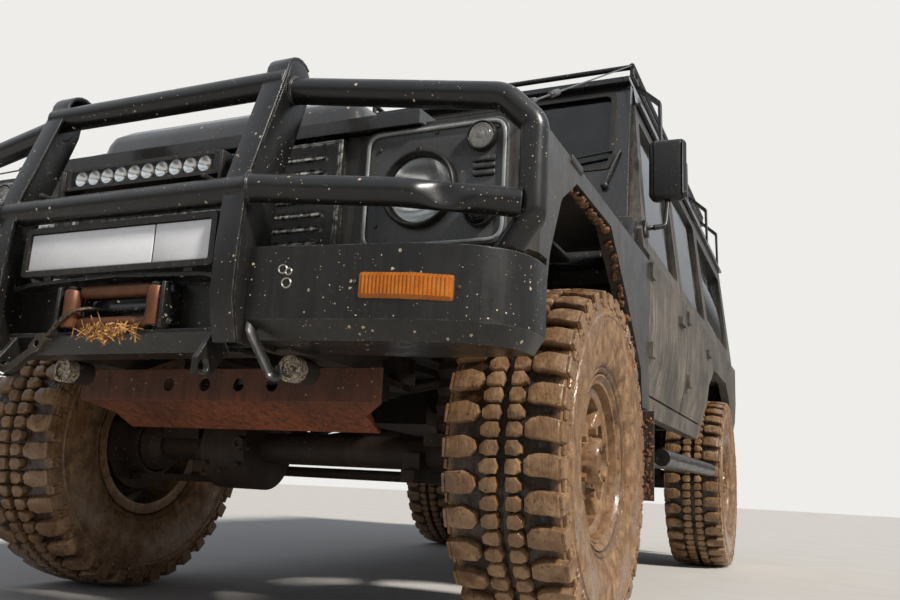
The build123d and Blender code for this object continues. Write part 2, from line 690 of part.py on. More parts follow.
def small_lamps():
    """Side lamp and indicator at the front, and the round lamps at the tail."""
    front = []
    for dx, dz, r in ((146, 106, 34), (146, -65, 34)):
        x, z = LAMP_X + dx, LAMP_Z + dz
        front.append(rod((x, NOSE_PANEL_Y - 26, z), (x, NOSE_PANEL_Y - 6 - SEAT_GAP, z), r))
    rear = []
    for z in (860, 960, 1060):
        rear.append(rod((690, BODY_REAR_Y + SEAT_GAP, z), (690, BODY_REAR_Y + 26, z), 38))
    return group(*[both_sides(lamp) for lamp in front + rear])


HINGE_Z = 1284
HINGE_Y = 566
BONNET_KNUCKLE_R = 9
BONNET_PIVOT_Y = HINGE_Y - SEAT_GAP - BONNET_KNUCKLE_R
BONNET_PIVOT_Z = HINGE_Z - 8


def bonnet():
    """The bonnet: a panel with turned-down edges and a raised middle."""
    y0, y1 = GRILLE_Y, 552
    z0, z1 = 1186, 1288
    half = WING_INNER_X - 6
    panel = prism_x([(y0, z0 - 34), (y1, z1 - 60), (y1, z1), (y0, z0)], -half, half)
    under = prism_x([(y0 + 24, z0 - 40), (y1 + 5, z1 - 70), (y1 + 5, z1 - 22), (y0 + 24, z0 - 20)], -half + 22, half - 22)
    panel = panel - under
    base = [(-405, y0 + 40), (405, y0 + 40), (430, y1 - 4), (-430, y1 - 4)]
    crown = [(-360, y0 + 110), (360, y0 + 110), (380, y1 - 14), (-380, y1 - 14)]
    slope = (z1 - z0) / (y1 - y0)
    low = [(x, y, z0 - 6 + (y - y0) * slope) for x, y in base]
    high = [(x, y, z0 + 62 + (y - y0) * slope * 0.75) for x, y in crown]
    bulge = Solid.make_loft([Wire(Polyline(*low, close=True).edges()), Wire(Polyline(*high, close=True).edges())], ruled=True)
    knuckles = []
    for s in (-1, 1):
        start, end = (s * 380, BONNET_PIVOT_Y, BONNET_PIVOT_Z), (s * 460, BONNET_PIVOT_Y, BONNET_PIVOT_Z)
        knuckles.append(rod(start, end, BONNET_KNUCKLE_R))
    return joined(panel, bulge, *knuckles)


BULKHEAD_HALF = BODY_X - WALL + 1 - SEAT_GAP
DASH_ROOM_HALF = 758


def bulkhead():
    """The scuttle, firewall, door pillars and windscreen frame."""
    outer = [(600, FLOOR_Z), (600, 1060), (HINGE_Y, 1100), (HINGE_Y, HINGE_Z), (SCREEN_BASE_Y, SCREEN_BASE_Z), (700, SCREEN_BASE_Z), (700, FLOOR_Z)]
    hollow = [(620, FLOOR_Z - 1), (620, 1070), (HINGE_Y + 20, 1110), (HINGE_Y + 20, 1262), (680, 1285), (701, 1285), (701, FLOOR_Z - 1)]
    half = BULKHEAD_HALF
    scuttle = prism_x(outer, -half, half) - prism_x(hollow, -DASH_ROOM_HALF, DASH_ROOM_HALF)
    slab = [
        (SCREEN_BASE_Y, SCREEN_BASE_Z - 1),
        (SCREEN_BASE_Y + SCREEN_T, SCREEN_BASE_Z - 1),
        (SCREEN_TOP_Y + SCREEN_T, SCREEN_TOP_Z),
        (SCREEN_TOP_Y, SCREEN_TOP_Z),
    ]
    outline = [
        (-SCREEN_BASE_X, SCREEN_BASE_Z - 1),
        (SCREEN_BASE_X, SCREEN_BASE_Z - 1),
        (SCREEN_TOP_X, SCREEN_TOP_Z),
        (-SCREEN_TOP_X, SCREEN_TOP_Z),
    ]
    frame = prism_x(slab, -SCREEN_BASE_X, SCREEN_BASE_X) & prism_y(outline, 600, 1000)
    frame = frame - prism_y(screen_opening(0), 600, 1000, WINDOW_CORNER_R - 2)
    return scuttle + frame


def screen_opening(inset):
    """The windscreen's opening, as (x, z)."""
    low_z, high_z = SCREEN_BASE_Z + 62 + inset, SCREEN_TOP_Z - 55 - inset
    low_x, high_x = SCREEN_BASE_X - 58 - inset, SCREEN_TOP_X - 55 - inset
    return [(-low_x, low_z), (low_x, low_z), (high_x, high_z), (-high_x, high_z)]


def front_door_outline(inset):
    """The front door's edge, as (y, z)."""
    rear = B_PILLAR_Y - inset
    lean = (SCREEN_TOP_Y - SCREEN_BASE_Y) / (SCREEN_TOP_Z - SCREEN_BASE_Z)
    front_low = WING_REAR_Y + inset
    front_mid_z = SCREEN_BASE_Z - 10
    top_z = GUTTER_Z - inset
    front_top = SCREEN_BASE_Y + SCREEN_T + (top_z - SCREEN_BASE_Z) * lean + inset
    front_mid = SCREEN_BASE_Y + SCREEN_T + inset
    return [
        (front_low, DOOR_BOTTOM_Z - GAP + inset),
        (front_low, front_mid_z - 20),
        (front_mid, front_mid_z),
        (front_top, top_z),
        (rear, top_z),
        (rear, DOOR_BOTTOM_Z - GAP + inset),
    ]


def rear_door_outline(inset):
    """The rear side door's edge, cut round the wheel arch, as (y, z)."""
    front = B_PILLAR_Y + inset
    rear = C_PILLAR_Y - inset
    top_z = GUTTER_Z - inset
    return [
        (front, DOOR_BOTTOM_Z - GAP + inset),
        (front, top_z),
        (rear, top_z),
        (rear, 1075),
        (2300 - inset, 960),
        (2165 - inset, DOOR_BOTTOM_Z - GAP + inset),
    ]


WINDOW_CORNER_R = 30
FRONT_WINDOW = [(808, 1262), (930, 1788), (1498, 1788), (1498, 1262)]
REAR_WINDOW = [(1612, 1262), (1612, 1788), (2380, 1788), (2380, 1262)]
QUARTER_WINDOW = [(2500, 1280), (2500, 1770), (3520, 1770), (3520, 1280)]


def side_door(outline, window):
    """A side door: the body side's own curve, as thick as the wall, with its window cut."""
    door = side_band(0, WALL, 650, 2500) & prism_x(outline, 600, 900)
    return door - prism_x(window, 600, 900, WINDOW_CORNER_R)


def door_handle(y):
    z = 1074
    return block(BODY_X - 4, BODY_X + 16, y - 60, y + 50, z - 15, z + 15)


def front_door():
    hinges = [block(BODY_X - 12, BODY_X + 12, WING_REAR_Y + GAP + 2, WING_REAR_Y + 70, z - 26, z + 26) for z in (850, 1130)]
    door = side_door(front_door_outline(GAP), FRONT_WINDOW)
    return joined(door, door_handle(1400), *hinges)


def rear_side_door():
    hinges = [block(BODY_X - 12, BODY_X + 12, B_PILLAR_Y + GAP + 2, B_PILLAR_Y + 70, z - 26, z + 26) for z in (850, 1130)]
    door = side_door(rear_door_outline(GAP), REAR_WINDOW)
    return joined(door, door_handle(2260), *hinges)


def shrunk(points, inset):
    """A convex outline drawn in towards its middle."""
    middle_u = (min(p[0] for p in points) + max(p[0] for p in points)) / 2
    middle_v = (min(p[1] for p in points) + max(p[1] for p in points)) / 2
    moved = []
    for u, v in points:
        moved.append((u - math.copysign(inset, u - middle_u), v - math.copysign(inset, v - middle_v)))
    return moved


def side_pane(window, y0, y1):
    """A glass pane that follows the body side and just fits its opening."""
    pane = side_band(GLASS_INSET, GLASS_INSET + GLASS_T, y0, y1)
    return pane & prism_x(shrunk(window, SEAT_GAP), 600, 900, WINDOW_CORNER_R - 2 * SEAT_GAP)


def body_sides():
    """Pillars, sills, rear quarters and rear wall, with the side openings cut."""
    side = side_band(0, WALL, WING_REAR_Y + GAP, BODY_REAR_Y)
    side = side - prism_x(front_door_outline(0), 600, 900)
    side = side - prism_x(rear_door_outline(0), 600, 900)
    side = side - prism_x(QUARTER_WINDOW, 600, 900, WINDOW_CORNER_R)
    side = side - prism_x(rear_arch(), 600, 900)
    front_stub = block(600, 900, WING_REAR_Y, 1000, 1200, GUTTER_Z)
    side = side - front_stub
    pillar = side_band(WALL + SEAT_GAP, WALL + 45, B_PILLAR_Y - 30, B_PILLAR_Y + 30)
    pillar = pillar & block(600, 900, 1500, 1620, FLOOR_Z - 11, GUTTER_Z)
    foot = side_band(WALL - 5, WALL + 20, B_PILLAR_Y - 30, B_PILLAR_Y + 30)
    foot = foot & block(600, 900, 1500, 1620, FLOOR_Z - 11, DOOR_BOTTOM_Z - GAP)
    foot = joined(foot, block(754, 800, B_PILLAR_Y - 30, B_PILLAR_Y + 30, FLOOR_Z - 30, FLOOR_Z - 10) & side_band(5, WALL + 5, 1500, 1620))
    half_wall = [(x - WALL + 2, z) for x, z in SIDE_OUTLINE if z >= DOOR_BOTTOM_Z]
    rear_outline = [(-x, z) for x, z in reversed(half_wall)] + half_wall
    rear = prism_y(rear_outline, BODY_REAR_Y - WALL, BODY_REAR_Y)
    rear = rear - prism_y(tail_door_outline(0), BODY_REAR_Y - 100, BODY_REAR_Y + 10)
    rear = rear - block(-900, 900, BODY_REAR_Y - 100, BODY_REAR_Y + 10, 600, 796)
    box_front, box_rear = WHEELBASE - 464, WHEELBASE + 500
    wheel_box = block(548, 562, box_front, box_rear, LOAD_FLOOR_Z, 1050)
    wheel_box = wheel_box + block(548, 764, box_front, box_rear, 1038, 1052)
    wheel_box = wheel_box + block(760, 802, C_PILLAR_Y + 2, box_rear, 1038, 1052)
    left = joined(side, pillar, foot, wheel_box)
    return joined(rear, left, mirrored(left))


def tail_door_outline(inset):
    """The tail door's opening, as (x, z)."""
    half = 420 - inset
    return [(-half, 800 + inset), (half, 800 + inset), (half, 1790 - inset), (-half, 1790 - inset)]


TAIL_WINDOW = [(-330, 1330), (330, 1330), (330, 1720), (-330, 1720)]
TAIL_HINGE_X = -430
TAIL_KNUCKLE_R = 12
TAIL_HINGE_Y = BODY_REAR_Y + TAIL_KNUCKLE_R + SEAT_GAP


def tail_door():
    """The side-hinged tail door with the spare wheel's carrier."""
    door = prism_y(tail_door_outline(GAP), BODY_REAR_Y - WALL, BODY_REAR_Y)
    door = door - prism_y(TAIL_WINDOW, BODY_REAR_Y - 100, BODY_REAR_Y + 10, 30)
    carrier = rod((SPARE_X, BODY_REAR_Y - 1, SPARE_Z), (SPARE_X, SPARE_MID_Y + WHEEL_DISC_X - SEAT_GAP, SPARE_Z), 60)
    plate = block(SPARE_X - 90, SPARE_X + 90, BODY_REAR_Y - 1, BODY_REAR_Y + 12, SPARE_Z - 90, SPARE_Z + 90)
    hinges = []
    for z in (900, 1700):
        hinges.append(block(-408, -350, BODY_REAR_Y - 2, BODY_REAR_Y + 12, z - 28, z + 28))
        hinges.append(block(TAIL_HINGE_X - 7, -350, BODY_REAR_Y + 4, BODY_REAR_Y + 12, z - 28, z + 28))
        hinges.append(rod((TAIL_HINGE_X, TAIL_HINGE_Y, z - 34), (TAIL_HINGE_X, TAIL_HINGE_Y, z + 34), TAIL_KNUCKLE_R))
    return joined(door, carrier, plate, *hinges)


def roof():
    """The domed roof with its gutters, and the front edge above the windscreen."""
    out = [(770, GUTTER_Z), (770, GUTTER_Z + 12), (GUTTER_X, GUTTER_Z + 12), (738, 2040), (690, 2096), (360, ROOF_Z - 6), (0, ROOF_Z)]
    inner = [(0, ROOF_Z - 30), (360, ROOF_Z - 36), (672, 2066), (708, 2030), (722, GUTTER_Z)]
    outline_out = [(-x, z) for x, z in out[:-1]] + list(reversed(out))
    outline_in = list(reversed(inner[1:])) + [inner[0]] + [(-x, z) for x, z in inner[1:]]
    shell = prism_y(outline_out + outline_in, 846, BODY_REAR_Y)
    cap = prism_y([(-735, SCREEN_TOP_Z + SEAT_GAP), (735, SCREEN_TOP_Z + SEAT_GAP), (715, 2040), (660, 2090), (-660, 2090), (-715, 2040)], 846, 884)
    rear_cap = prism_y([(-735, GUTTER_Z), (735, GUTTER_Z), (715, 2040), (660, 2090), (-660, 2090), (-715, 2040)], BODY_REAR_Y - 35, BODY_REAR_Y)
    low_front = block(-900, 900, 800, SCREEN_TOP_Y + SCREEN_T + 6, GUTTER_Z - 20, SCREEN_TOP_Z + SEAT_GAP)
    slope = prism_x([(840, SCREEN_TOP_Z + 70), (840, 2200), (1010, 2200), (1010, ROOF_Z + 2), (900, 2080)], -900, 900)
    slope_back = [(y + 34, z - 6) for y, z in ((846, SCREEN_TOP_Z + 62), (906, 2074), (1016, ROOF_Z - 4))]
    fascia = prism_x([(846, SCREEN_TOP_Z + 62), (906, 2074), (1016, ROOF_Z - 4), *reversed(slope_back)], -655, 655)
    return joined(shell - slope, cap - slope, rear_cap, fascia) - low_front


def floor():
    """The cabin floor, seat boxes and load floor."""
    front = block(-764, 764, WING_REAR_Y + 2, 2282, FLOOR_Z - 12, FLOOR_Z)
    for s in (-1, 1):
        front = front - block(s * 700, s * 800, B_PILLAR_Y - 31, B_PILLAR_Y + 31, FLOOR_Z - 20, FLOOR_Z + 10)
    seat_box = block(-700, 700, 1130, 1560, FLOOR_Z - 1, 905) - block(-685, 685, 1145, 1545, FLOOR_Z - 2, 890)
    step = block(-760, 760, 2262, 2282, FLOOR_Z - 1, LOAD_FLOOR_Z)
    rear = block(-546, 546, 2262, BODY_REAR_Y - WALL - SEAT_GAP, LOAD_FLOOR_Z - 10, LOAD_FLOOR_Z)
    side = block(545, 764, WHEELBASE + 502, BODY_REAR_Y - WALL - SEAT_GAP, LOAD_FLOOR_Z - 10, LOAD_FLOOR_Z)
    return joined(front, seat_box, step, rear, side, mirrored(side))


def fixed_glass():
    """The windscreen and the rear quarter panes."""
    depth0, depth1 = 14, 14 + GLASS_T
    slab = [
        (SCREEN_BASE_Y + depth0, SCREEN_BASE_Z),
        (SCREEN_BASE_Y + depth1, SCREEN_BASE_Z),
        (SCREEN_TOP_Y + depth1, SCREEN_TOP_Z),
        (SCREEN_TOP_Y + depth0, SCREEN_TOP_Z),
    ]
    screen = prism_x(slab, -SCREEN_BASE_X, SCREEN_BASE_X) & prism_y(screen_opening(SEAT_GAP), 600, 1000, WINDOW_CORNER_R - 2)
    quarter = side_pane(QUARTER_WINDOW, 2400, 3600)
    return group(screen, quarter, mirrored(quarter))


def dashboard():
    """The dashboard with the instrument binnacle and the steering column."""
    half = DASH_ROOM_HALF - SEAT_GAP
    shell = prism_x([(688, 1060), (688, 1268), (800, 1250), (880, 1180), (880, 1120), (780, 1040)], -half, half)
    shell = shell - prism_x([(680, 1050), (680, 1245), (795, 1228), (850, 1170), (850, 1130), (775, 1062)], -half + 20, half - 20)
    binnacle = prism_x([(760, 1240), (850, 1300), (900, 1270), (905, 1170), (860, 1150)], COLUMN_X - 160, COLUMN_X + 160)
    start = COLUMN_AXIS_POINT
    column = rod((COLUMN_X, start[1] - 150, start[2] - 150 * math.tan(math.radians(COLUMN_TILT))), column_point(-12), 24)
    return joined(shell, binnacle, column)


COLUMN_X = 375
COLUMN_AXIS_POINT = (COLUMN_X, 1010, 1215)


def column_point(along):
    """A point on the steering column's axis, measured from the wheel's centre."""
    tilt = math.radians(COLUMN_TILT)
    x, y, z = COLUMN_AXIS_POINT
    return (x, y + along * math.cos(tilt), z + along * math.sin(tilt))


def steering_wheel():
    """A four-spoke wheel on the column's end."""
    sides = 24
    ring = wheel_loft([(-11, STEERING_WHEEL_R), (11, STEERING_WHEEL_R)], sides)
    ring = ring - wheel_loft([(-12, STEERING_WHEEL_R - 24), (12, STEERING_WHEEL_R - 24)], sides)
    hub = rod((-11, 0, 0), (22, 0, 0), 52)
    spokes = []
    for angle in (60, 120, 240, 300):
        a = math.radians(angle)
        reach = STEERING_WHEEL_R - 14
        spokes.append(rod((0, 40 * math.sin(a), 40 * math.cos(a)), (0, reach * math.sin(a), reach * math.cos(a)), 10))
    flat = joined(ring, hub, *spokes)
    turned = Rot(0, 0, 90) * flat
    return Pos(*COLUMN_AXIS_POINT) * (Rot(COLUMN_TILT, 0, 0) * turned)


def seat(x0, x1, y, base_z):
    """A seat: cushion, leaning back and headrest as one soft body."""
    cushion = prism_x([(y, base_z), (y, base_z + 110), (y + 30, base_z + 130), (y + 440, base_z + 105), (y + 440, base_z)], x0, x1)
    back = prism_x([(y + 380, base_z + 90), (y + 470, base_z + 600), (y + 555, base_z + 600), (y + 490, base_z + 60)], x0 + 10, x1 - 10)
    middle = (x0 + x1) / 2
    rest = block(middle - 110, middle + 110, y + 490, y + 565, base_z + 590, base_z + 750)
    return joined(cushion, back, rest)


def seats():
    """Two front seats and three places on the rear bench."""
    pieces = []
    for x0, x1 in ((-670, -190), (190, 670)):
        pieces.append(seat(x0, x1, 1095, 905.3))
    for x0, x1 in ((-700, -250), (-230, 230), (250, 700)):
        pieces.append(seat(x0, x1, 1750, 905.3))
    bench_base = block(-690, 690, 1790, 2200, FLOOR_Z + SEAT_GAP, 905)
    return group(*pieces, bench_base)


# Front protection


def upright():
    """One side plate of the bull bar with its front edge folded inwards."""
    front = [(-858, 616), (NOSE_Y + PLATE_T, 700), (NOSE_Y + PLATE_T, 800), (-872, 950), (-778, 1225), (-760, 1255)]
    back = [(-722, 1268), (-695, 1240), (-700, 1185), (-775, 950), (-785, 812), (RAIL_FRONT_Y - SEAT_GAP, 740), (RAIL_FRONT_Y - SEAT_GAP, 616)]
    plate = prism_x(front + back, UPRIGHT_X - PLATE_T, UPRIGHT_X)
    fold = [(y - PLATE_T, z) for y, z in front] + [(y + 1, z) for y, z in reversed(front)]
    flange = prism_x(fold, UPRIGHT_X - UPRIGHT_FLANGE, UPRIGHT_X)
    return plate + flange


BULL_MIDDLE_Z = 930


def bull_bar():
    """Two uprights, the cross tubes between them and the hoops swept back round the lamps."""
    left = upright()
    hoop = tube_path(
        [
            (UPRIGHT_X - 4, -752, 1192),
            (822, -697, 1136),
            (884, -682, 1075),
            (882, -688, 850),
            (850, -722, BUMPER_TOP_Z - 12),
        ],
        [62, 40, 30],
        BULL_TUBE_R,
    )
    hoop = hoop - block(780, 920, -780, -650, BUMPER_TOP_Z - 60, BUMPER_TOP_Z + SEAT_GAP)
    wrap = tube_path([(UPRIGHT_X - 4, -872, 927), (640, -792, 918), (866, -700, 906)], 300, BULL_TUBE_R)
    reach = UPRIGHT_X - 4
    top = rod((-reach, -768, 1205), (reach, -768, 1205), BULL_TUBE_R)
    middle = rod((-reach, -858, BULL_MIDDLE_Z), (reach, -858, BULL_MIDDLE_Z), BULL_TUBE_R)
    side = joined(left, hoop, wrap)
    return joined(side, mirrored(side), top, middle)


def bumper_wing():
    """One outer end of the bumper: a hollow box section swept back and rounded."""
    start_x = UPRIGHT_X + SEAT_GAP
    outer = [(start_x, -848), (690, -800), (800, -758), (856, -705), (880, -640), (880, -565)]
    low = [(start_x, -812), (680, -768), (780, -730), (834, -685), (856, -630), (856, -565)]
    back = [(640, -565), (start_x, -650)]
    solid = stack([(BUMPER_LOW_Z, low + back), (664, outer + back), (BUMPER_TOP_Z, outer + back)])
    rail_room = block(0, RAIL_OUT_X + SEAT_GAP, RAIL_FRONT_Y - SEAT_GAP, -500, 600, 830)
    hollow_outer = [(start_x - 1, -836), (686, -788), (792, -747), (844, -697), (868, -636), (868, -560)]
    hollow_low = [(start_x - 1, -800), (676, -756), (772, -719), (824, -676), (845, -626), (845, -560)]
    hollow_back = [(640, -560), (start_x - 1, -640)]
    hollow = stack(
        [
            (BUMPER_LOW_Z + 10, hollow_low + hollow_back),
            (668, hollow_outer + hollow_back),
            (BUMPER_TOP_Z - 10, hollow_outer + hollow_back),
        ]
    )
    return solid - hollow - rail_room


def recovery_eye():
    """One recovery eye: a thick plate under the winch tray, with the shackle's bore."""
    outline = [(-887, 553), (-887, 585), (-846.3, 641.8), (-812.3, 605.7), (-800, 605.7), (-840, 553)]
    lug = prism_x(outline, -282, -270)
    return lug - rod((-290, HOOK_Y, EYE_Z), (-260, HOOK_Y, EYE_Z), EYE_R)


def front_bumper():
    """The bumper's two ends, and the recovery eyes between them."""
    wing = bumper_wing()
    lug = recovery_eye()
    return group(wing, mirrored(wing), lug, mirrored(lug))


def winch_tray():
    """The winch tray between the uprights, its backing plates and the arched strip above."""
    half = UPRIGHT_X - UPRIGHT_FLANGE - SEAT_GAP
    side_half = JACKING_X - JACKING_BORE_R - 4
    fold = [(-846, 650), (-838, 650), (-806, 616), (RAIL_FRONT_Y - 1, 616), (RAIL_FRONT_Y - 1, 606), (-812, 606), (-846, 642)]
    tray = prism_x(fold, -half, half)
    side_tray = block(-side_half, side_half, -800, RAIL_FRONT_Y - 1, 606, 616)
    arch = [(-half, 748), (-half + 60, 758), (0, 766), (half - 60, 758), (half, 748)]
    over = [(x, z + PLATE_T) for x, z in reversed(arch)]
    strip = prism_y(arch + over, -852, -800)
    plate_half = UPRIGHT_X - PLATE_T - SEAT_GAP
    backing = [block(s * 150, s * plate_half, -806, -800, 617, 754) for s in (-1, 1)]
    feet = [block(s * 150, s * half, -806, -800, 610, 620) for s in (-1, 1)]
    return joined(tray, side_tray, strip, *backing, *feet)


def winch():
    """The winch behind the fairlead: drum, flanges, motor and gear case."""
    y, z = -738, 692
    drum = rod((-120, y, z), (120, y, z), 42)
    flanges = [rod((s * 112, y, z), (s * 124, y, z), 58) for s in (-1, 1)]
    motor = rod((-280, y, z), (-123, y, z), 56)
    gears = rod((123, y, z), (280, y, z), 60)
    feet = [block(s * 150 - 30, s * 150 + 30, y - 40, y + 8, 616 + SEAT_GAP, z) for s in (-1, 1)]
    return joined(drum, *flanges, motor, gears, *feet)


ROLLER_Y = -842
ROLLER_X = 118
ROLLER_R = 19


def fairlead():
    """Four rollers in a frame: two upright, two level."""
    frame = block(-148, 148, -830, -806.3, 652, 756) - block(-96, 96, -835, -800, 684, 726)
    ears = [block(s * 148 - 5, s * 148 + 5, -858, -806.3, 652, 750) for s in (-1, 1)]
    upright_rollers = [rod((s * ROLLER_X, ROLLER_Y, 660), (s * ROLLER_X, ROLLER_Y, 742), ROLLER_R) for s in (-1, 1)]
    level = [rod((-146, -832, z), (146, -832, z), 14) for z in (668, 740)]
    return joined(frame, *ears, *upright_rollers, *level)


EYE_R = 15
EYE_Z = 569.7
ROPE_R = 5
ROPE_ROUTE = [
    (-46, -780.6, 706), (-58, -808, 706), (-76, -838, 703),
    (-97, -864, 692), (-122, -872, 666), (-152, -867, 638.8),
]
HOOK_Y = -866
HOOK_T = 16


def winch_rope():
    return tube_path(ROPE_ROUTE, [60, 60, 30, 25], ROPE_R)


def rope_hook():
    """The thimble and the forged hook on the rope's end, caught in the right-hand recovery eye."""
    y0, y1 = HOOK_Y - HOOK_T / 2, HOOK_Y + HOOK_T / 2
    thimble = prism_y([(-146, 631), (-159, 645), (-178, 640), (-196, 616), (-190, 600), (-170, 604)], y0, y1)
    hole = rod((-174, y0 - 2, 622), (-174, y1 + 2, 622), 8)
    hook = [
        (-190, 614), (-180, 604), (-236, 566), (-262, 558), (-290, 568),
        (-300, 594), (-290, 597), (-280, 580), (-262, 572), (-246, 580),
    ]
    return joined(thimble - hole, prism_y(hook, y0, y1))


def steering_guard():
    """The plate ahead of the steering rods: an upright face with holes and a sloping floor."""
    half, half_rear = 462, 394
    face = block(-half, half, -470, -464, 541, 621.5)
    for x in (-330, -230, -125, -10):
        face = face - rod((-x - 170, -480, 582), (-x - 170, -450, 582), 17)
    floor_plate = prism_x([(-470, 544), (-464, 547), (-334, 486), (-337, 480)], -half, half)
    plan = [(half, -471), (half, -462), (half_rear, -408), (half_rear, -330)]
    plan = plan + [(-x, y) for x, y in reversed(plan)]
    floor_plate = floor_plate & prism_z(plan, 470, 560)
    gusset = prism_x([(-470, 541), (-470, 600), (-350, 490)], half_rear - 6, half_rear)
    return joined(face, floor_plate, gusset, mirrored(gusset))


def light_bar():
    """A slim ribbed housing with its feet on the middle tube."""
    housing = block(-228, 228, -818, -770, 992, 1046) - block(-208, 208, -819, -812, 1002, 1036)
    fins = [block(-220, 220, -772, -756, z - 2, z + 2) for z in (998, 1008, 1018, 1028, 1038)]
    feet = []
    for s in (-1, 1):
        feet.append(block(s * 232 - 5, s * 232 + 5, -826, -760, 962, 1034))
        feet.append(block(s * 232 - 5, s * 232 + 5, -876, -790, BULL_MIDDLE_Z + BULL_TUBE_R + SEAT_GAP, 970))
    return joined(housing, *fins, *feet)


def number_plate():
    """The plate's frame and blank plate, hung on the strip below."""
    holder = prism_y([(-272, 776), (272, 776), (272, 890), (-272, 890)], -862, -850, 10)
    legs = [block(s * 200 - 12, s * 200 + 12, -850.5, -842, 768, 820) for s in (-1, 1)]
    return joined(holder, *legs)


# Accessories


def side_steps():
    """A round step bar under each sill, on two brackets from the chassis rail."""
    bar = rod((STEP_X, 850, STEP_Z), (STEP_X, 2120, STEP_Z), STEP_R)
    inner = rod((STEP_X - 110, 900, STEP_Z), (STEP_X - 110, 2070, STEP_Z), 22)
    brackets = []
    for y in (930, 1480, 2040):
        brackets.append(rod((STEP_X, y, STEP_Z), (STEP_X - 110, y, STEP_Z), 18))
        brackets.append(rod((STEP_X - 110, y, STEP_Z), (RAIL_OUT_X - 20, y, 628), 18))
    rail_room = block(RAIL_IN_X, RAIL_OUT_X + SEAT_GAP, 800, 2200, 560, 720)
    return both_sides(joined(bar, inner, *brackets) - rail_room)


def mud_flaps():
    """Rubber flaps behind all four wheels."""
    front = block(650, 858, 716, 724, 345, SILL_Z - SEAT_GAP)
    rear = block(600, 836, WHEELBASE + 560, WHEELBASE + 568, 330, 656)
    hanger = block(RAIL_OUT_X + SEAT_GAP, 836, WHEELBASE + 560, WHEELBASE + 568, 655, 700)
    return group(both_sides(front), both_sides(joined(rear, hanger)))


def roof_rack():
    """Two rails of tube on feet in the gutters, with cross bars and end rails."""
    y0, y1 = 1290, 3560
    rails = []
    for z in (RACK_LOW_Z, RACK_TOP_Z):
        for s in (-1, 1):
            rails.append(rod((s * RACK_X, y0, z), (s * RACK_X, y1, z), RACK_TUBE_R))
        for y in (y0 + RACK_TUBE_R, y1 - RACK_TUBE_R):
            rails.append(rod((-RACK_X, y, z), (RACK_X, y, z), RACK_TUBE_R - 1))
    for s in (-1, 1):
        for y in (y0 + RACK_TUBE_R, y1 - RACK_TUBE_R):
            rails.append(rod((s * RACK_X, y, RACK_LOW_Z), (s * RACK_X, y, RACK_TOP_Z), RACK_TUBE_R - 2))
    bars = []
    feet = []
    for y in (1560, 1960, 2360, 2760, 3160):
        bars.append(rod((-RACK_X, y, RACK_LOW_Z), (RACK_X, y, RACK_LOW_Z), RACK_TUBE_R - 2))
    for y in (1400, 2160, 2960, 3480):
        leg = prism_y([(758, GUTTER_Z + 12 + SEAT_GAP), (768, GUTTER_Z + 12 + SEAT_GAP), (764, 2080), (RACK_X + 4, RACK_LOW_Z + 4), (RACK_X - 4, RACK_LOW_Z - 8), (752, 2068)], y - 20, y + 20)
        feet.extend([leg, mirrored(leg)])
        for s in (-1, 1):
            rails.append(rod((s * RACK_X, y, RACK_LOW_Z), (s * RACK_X, y, RACK_TOP_Z), 9))
    return joined(*rails, *bars, *feet)


def mirror_arm():
    """A door mirror: its head on a bent arm from the door."""
    head = prism_z([(826, 792), (842, 778), (948, 784), (958, 800), (952, 832), (832, 832)], 1408, 1642)
    arm = tube_path([(side_x(1290) + 8, 742, 1290), (890, 760, 1300), (892, 806, 1412)], 20, 9)
    low_x, high_x = side_x(1262) + SEAT_GAP, side_x(1318) + SEAT_GAP
    foot = prism_y([(low_x, 1262), (low_x + 14, 1262), (high_x + 16, 1318), (high_x, 1318)], 730, 766)
    return joined(head, arm, foot)


def wheel_at(shape, x, y):
    """A wheel piece set on its axle, its outer face away from the middle."""
    turned = shape if x > 0 else mirrored(shape)
    return Pos(x, y, AXLE_Z) * turned


def spare_at(shape):
    """A wheel piece on the tail door, its outer face to the rear."""
    return Pos(SPARE_X, SPARE_MID_Y, SPARE_Z) * (Rot(0, 0, 90) * shape)


